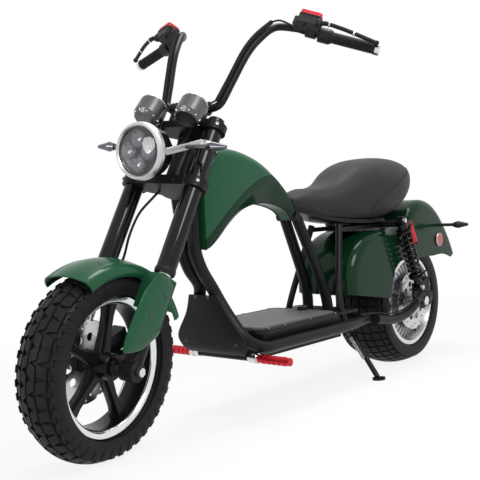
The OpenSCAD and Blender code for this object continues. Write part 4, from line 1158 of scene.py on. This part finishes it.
def makeGauges():
    g = gauge
    places = [gaugeAt, gaugeRight]
    topPlaces = [place @ shift(0, 0, g["height"]) for place in places]
    onTop = dict(at=topPlaces[0], other=topPlaces[1])
    rim = lathe(bead(*g["rim"]), g["steps"], closed=True)
    makePiece("gaugeRims", [rim], "steering", "polished", **onTop)
    makePiece("gaugeFaces", [lathe(g["face"], g["steps"])], "steering", "glossBlack", **onTop)
    ringPiece("gaugeMarks", [block(*g["mark"])], g["marks"], "steering", "lightDome", topPlaces)
    needle = prism(g["needle"], g["needleLow"], g["needleHigh"])
    makePiece("gaugeNeedles", [needle], "steering", "redAnodised", **onTop)
    stud = moved(lathe(g["stud"], 12), slide(*g["studAt"]) @ turn("Y", g["studTilt"]))
    ringPiece("gaugeStuds", [stud], g["studs"], "steering", "polished", places)


makeGauges()

# screws: one cap shape, at listed points with the way they face, on both sides or on one
screws = {
    "steering": {
        "pairs": [
            ((24.7, 124.7, 514), (1, 1, 0)), ((24.7, 124.7, 687), (1, 1, 0)), ((28, 45, 514), (1, 0, 0)),
            ((0, 131, 625), (0, 1, 0)), ((0, 37, 770.6), (0, 0, 1)), ((0, 55, 770.6), (0, 0, 1)),
            ((30, 129.6, 70), (0, 1, 0)), ((34, 131.6, 130), (0, 1, 0)), ((4, 131.4, 196), (0, 1, 0))],
        "singles": [((-80, -67.6, 66), (0, -1, 0)), ((-54, -67.6, 92), (0, -1, 0))]},
    "frame": {
        "pairs": [
            ((564, 134, 264), (0, 0, 1)), ((700, 134, 264), (0, 0, 1)), ((830, 134, 264), (0, 0, 1)),
            ((905, 133, 264), (0, 0, 1)), ((1034, 24, 366), (1, 0, 0.17)), ((1006, 96, 232), (1, 0, 0)),
            ((949, 108, 198.6), (0, 0, 1)), ((-50, 148, 238), (0, 1, 0)), ((34, 148, 236), (0, 1, 0))],
        "singles": [((-80, 119, 254), (0, 1, 0)), ((-94, 119, 288), (0, 1, 0))]},
    "size": (5, 4), "capSize": (2.6, 1.6), "discSize": (5.5, 4), "hubSize": (3.4, 3),
    "capCorners": [(-31.2, -50, -9), (-31.2, -20, -9), (-31.2, -50, 39), (-31.2, -20, 39)],
    "nut": [(0, 7), (6, 7), (8.6, 5.6), (8.6, -1), (0, -1)], "nutY": 165,
    "discCount": 5, "rearDisc": (42, 0, 104), "frontDisc": (42, 0, 50.3),
    "hubCount": 12, "hub": (139, 0, 67.6),
}


def screwShape(r, h):
    return lathe([(0, h - 0.5 * r), (0.45 * r, h - 0.5 * r), (0.5 * r, h), (0.88 * r, h), (r, 0.75 * h),
                  (r, -1), (0, -1)], 12)


def makeScrews():
    s = screws
    for body, at in (("steering", forkAt), ("frame", bikeAt)):
        spots = []
        for group, both in (("pairs", True), ("singles", False)):
            for point, facing in s[body][group]:
                spots += spot(at, point, facing, both)
        pointPiece(body + "Screws", [screwShape(*s["size"])], spots, body, "greyMetal")
    spots = []
    for x, _, z in (springs["top"], springs["low"]):
        spots += spot(bikeAt, (x, s["nutY"], z), (0, 1, 0), both=True)
    pointPiece("shockNuts", [lathe(s["nut"], 6)], spots, "frame", "polished")
    spots = []
    for corner in s["capCorners"]:
        spots += spot(gripAt, corner, (-1, 0, 0), other=gripRight)
    pointPiece("capScrews", [screwShape(*s["capSize"])], spots, "steering", "polished")
    over = turn("X", 180)
    for name, size, point, count, body, places in (
            ("rearDiscScrews", "discSize", "rearDisc", "discCount", "rear_wheel", [rearWheelAt]),
            ("frontDiscScrews", "discSize", "frontDisc", "discCount", "front_wheel", [frontWheelAt @ over]),
            ("hubScrews", "hubSize", "hub", "hubCount", "rear_wheel", [rearWheelAt, rearWheelAt @ over])):
        shape = moved(screwShape(*s[size]), slide(*s[point]))
        ringPiece(name, [shape], s[count], body, "greyMetal", places)


makeScrews()
print("screws set")

# trim: tank edge, mat border, lock, fork seals, reservoir caps, cap frames, lever bands, reflector rings
trim = {
    "matBorder": (738.5, 186.5, 120, 22, 268), "matBead": 2, "lockAt": (556, 0, 0),
    "lock": [(0, 281.4), (10, 281.4), (11, 280.6), (13.5, 280.6), (15, 281.6), (17.4, 281.6), (17.4, 279),
             (0, 279)],
    "lockSlot": ((12, 2.2, 1.2), (0, 0, 281.6)), "sealAt": (0, 100, 0),
    "seal": [(19.3, 256), (26.4, 256), (27.6, 259), (27.6, 268), (26.1, 272), (26.1, 259), (19.3, 259)],
    "reservoirCap": 14.8, "reservoirLength": 84, "reservoirBack": 43, "reservoirTop": 30.3,
    "capFrame": (0, 31.6, 21.6, 8.4, 0), "capBead": 1.8, "capFrameAt": (-18.4, -35, 15),
    "bandSteps": (9, 20), "bandLength": 0.7, "bandRadius": 7.7,
    "reflector": (-190, 119.3, 452), "reflectorRing": (24, 5.4, 1.6, 8),
}


def makeTrim():
    t = trim
    edge = [(x, under - 0.6, low + 0.4) for x, low, crease, top, wide, under in tankRows]
    makePiece("tankEdge", [sweep(edge, tankBand["edge"], 8)], "frame", "satinBlack", both=True)
    makePiece("matBorder", [sweep(roundRectRoute(*t["matBorder"]), t["matBead"], 8)], "frame", "matRubber")
    lockMove = slide(*t["lockAt"])
    makePiece("deckLock", [moved(lathe(t["lock"], 32), lockMove)], "frame", "greyMetal")
    makePiece("deckLockSlot", [moved(block(*t["lockSlot"]), lockMove)], "frame", "glossBlack")
    seal = moved(lathe(t["seal"], 36, closed=True), slide(*t["sealAt"]))
    makePiece("forkSeals", [seal], "steering", "blackRubber", at=forkAt, both=True)
    low = shockLine.length - t["reservoirTop"] - t["reservoirLength"]
    high = low + t["reservoirLength"]
    caps = []
    for z0, z1 in ((low - 0.6, low + 7), (high - 9, high - 3)):
        cap = lathe([(0, z0), (t["reservoirCap"], z0), (t["reservoirCap"], z1), (0, z1)], 28)
        caps.append(moved(cap, slide(-t["reservoirBack"])))
    makePiece("reservoirCaps", caps, "frame", "satinBlack", at=shockAt, other=otherSide(bikeAt, shockAt))
    border = sweep(roundRectRoute(*t["capFrame"]), t["capBead"], 8)
    border = moved(border, slide(*t["capFrameAt"]) @ turn("Y", -90))
    makePiece("capFrames", [border], "steering", "blackPlastic", at=gripAt, other=gripRight)
    bands = []
    for k in t["bandSteps"]:
        bandEnd = leverRoute[k].lerp(leverRoute[k + 1], t["bandLength"])
        bands.append(sweep([leverRoute[k], bandEnd], t["bandRadius"]))
    makePiece("leverBands", bands, "steering", "polished", at=gripAt, other=gripRight)
    ring = lathe(bead(*t["reflectorRing"]), 36, closed=True)
    for name, side in (("reflectorRings", bikeAt), ("reflectorRingsRight", bikeAt @ flipY)):
        makePiece(name, [ring], "frame", "polished", at=side @ shift(*t["reflector"]) @ turn("X", -90))


makeTrim()
print("trim made")

# floor, light and background; each lamp is (place, size, power)
light = {
    "key": ((1.2, 3.0, 3.0), 1.8, 92), "fill": ((4.2, -0.4, 1.5), 1.6, 38),
    "top": ((-0.5, 0.2, 3.2), 1.6, 66), "aim": (0, 0, 0.5), "world": 0.25,
    "floor": 0.86, "floorSize": 30, "glow": 0.86, "fadeFrom": 1.2, "fadeTo": 3.2,
}


def seenRay(tree):
    # 1 for rays from the camera, from a reflection or through glass
    path = addNode(tree, "ShaderNodeLightPath", {}).outputs
    seen = path["Is Camera Ray"]
    for name in ("Is Glossy Ray", "Is Transmission Ray"):
        seen = addNode(tree, "ShaderNodeMath", {0: seen, 1: path[name]}, operation="MAXIMUM").outputs[0]
    return seen


def makeFloor():
    bm = bmesh.new()
    bmesh.ops.create_circle(bm, cap_ends=True, segments=64, radius=light["floorSize"])
    mesh = bpy.data.meshes.new("studioFloor")
    bm.to_mesh(mesh)
    bm.free()
    material, tree, shader = newMaterial("paleFloor")
    shader.inputs["Base Color"].default_value = (light["floor"],) * 3 + (1,)
    shader.inputs["Roughness"].default_value = 0.9
    far = addNode(tree, "ShaderNodeVectorMath", {0: objectPoint(tree)}, operation="LENGTH").outputs["Value"]
    glow = span(tree, far, light["glow"], 1.0, light["fadeFrom"], light["fadeTo"])
    share = addNode(tree, "ShaderNodeMath", {0: seenRay(tree), 1: glow}, operation="MULTIPLY")
    white = addNode(tree, "ShaderNodeEmission", {})
    mix = addNode(tree, "ShaderNodeMixShader", {
        "Fac": share.outputs[0], 1: shader.outputs[0], 2: white.outputs[0]})
    tree.links.new(mix.outputs[0], tree.nodes["Material Output"].inputs["Surface"])
    mesh.materials.append(material)
    addObject("studioFloor", mesh)


def makeLight():
    for name in ("key", "fill", "top"):
        place, size, power = light[name]
        lamp = bpy.data.lights.new(name + "Light", "AREA")
        lamp.shape = "DISK"
        lamp.size = size
        lamp.energy = power
        obj = addObject(name + "Light", lamp)
        obj.location = place
        obj.rotation_mode = "QUATERNION"
        obj.rotation_quaternion = (Vector(light["aim"]) - Vector(place)).to_track_quat("-Z", "Y")
    world = bpy.data.worlds.new("studio")
    scene.world = world
    world.use_nodes = True
    tree = world.node_tree
    back = tree.nodes["Background"]
    back.inputs["Color"].default_value = (1, 1, 1, 1)
    tree.links.new(span(tree, seenRay(tree), light["world"], 1.0, 0, 1), back.inputs["Strength"])
    scene.view_settings.view_transform = "Standard"


makeFloor()
makeLight()
print("stage made")
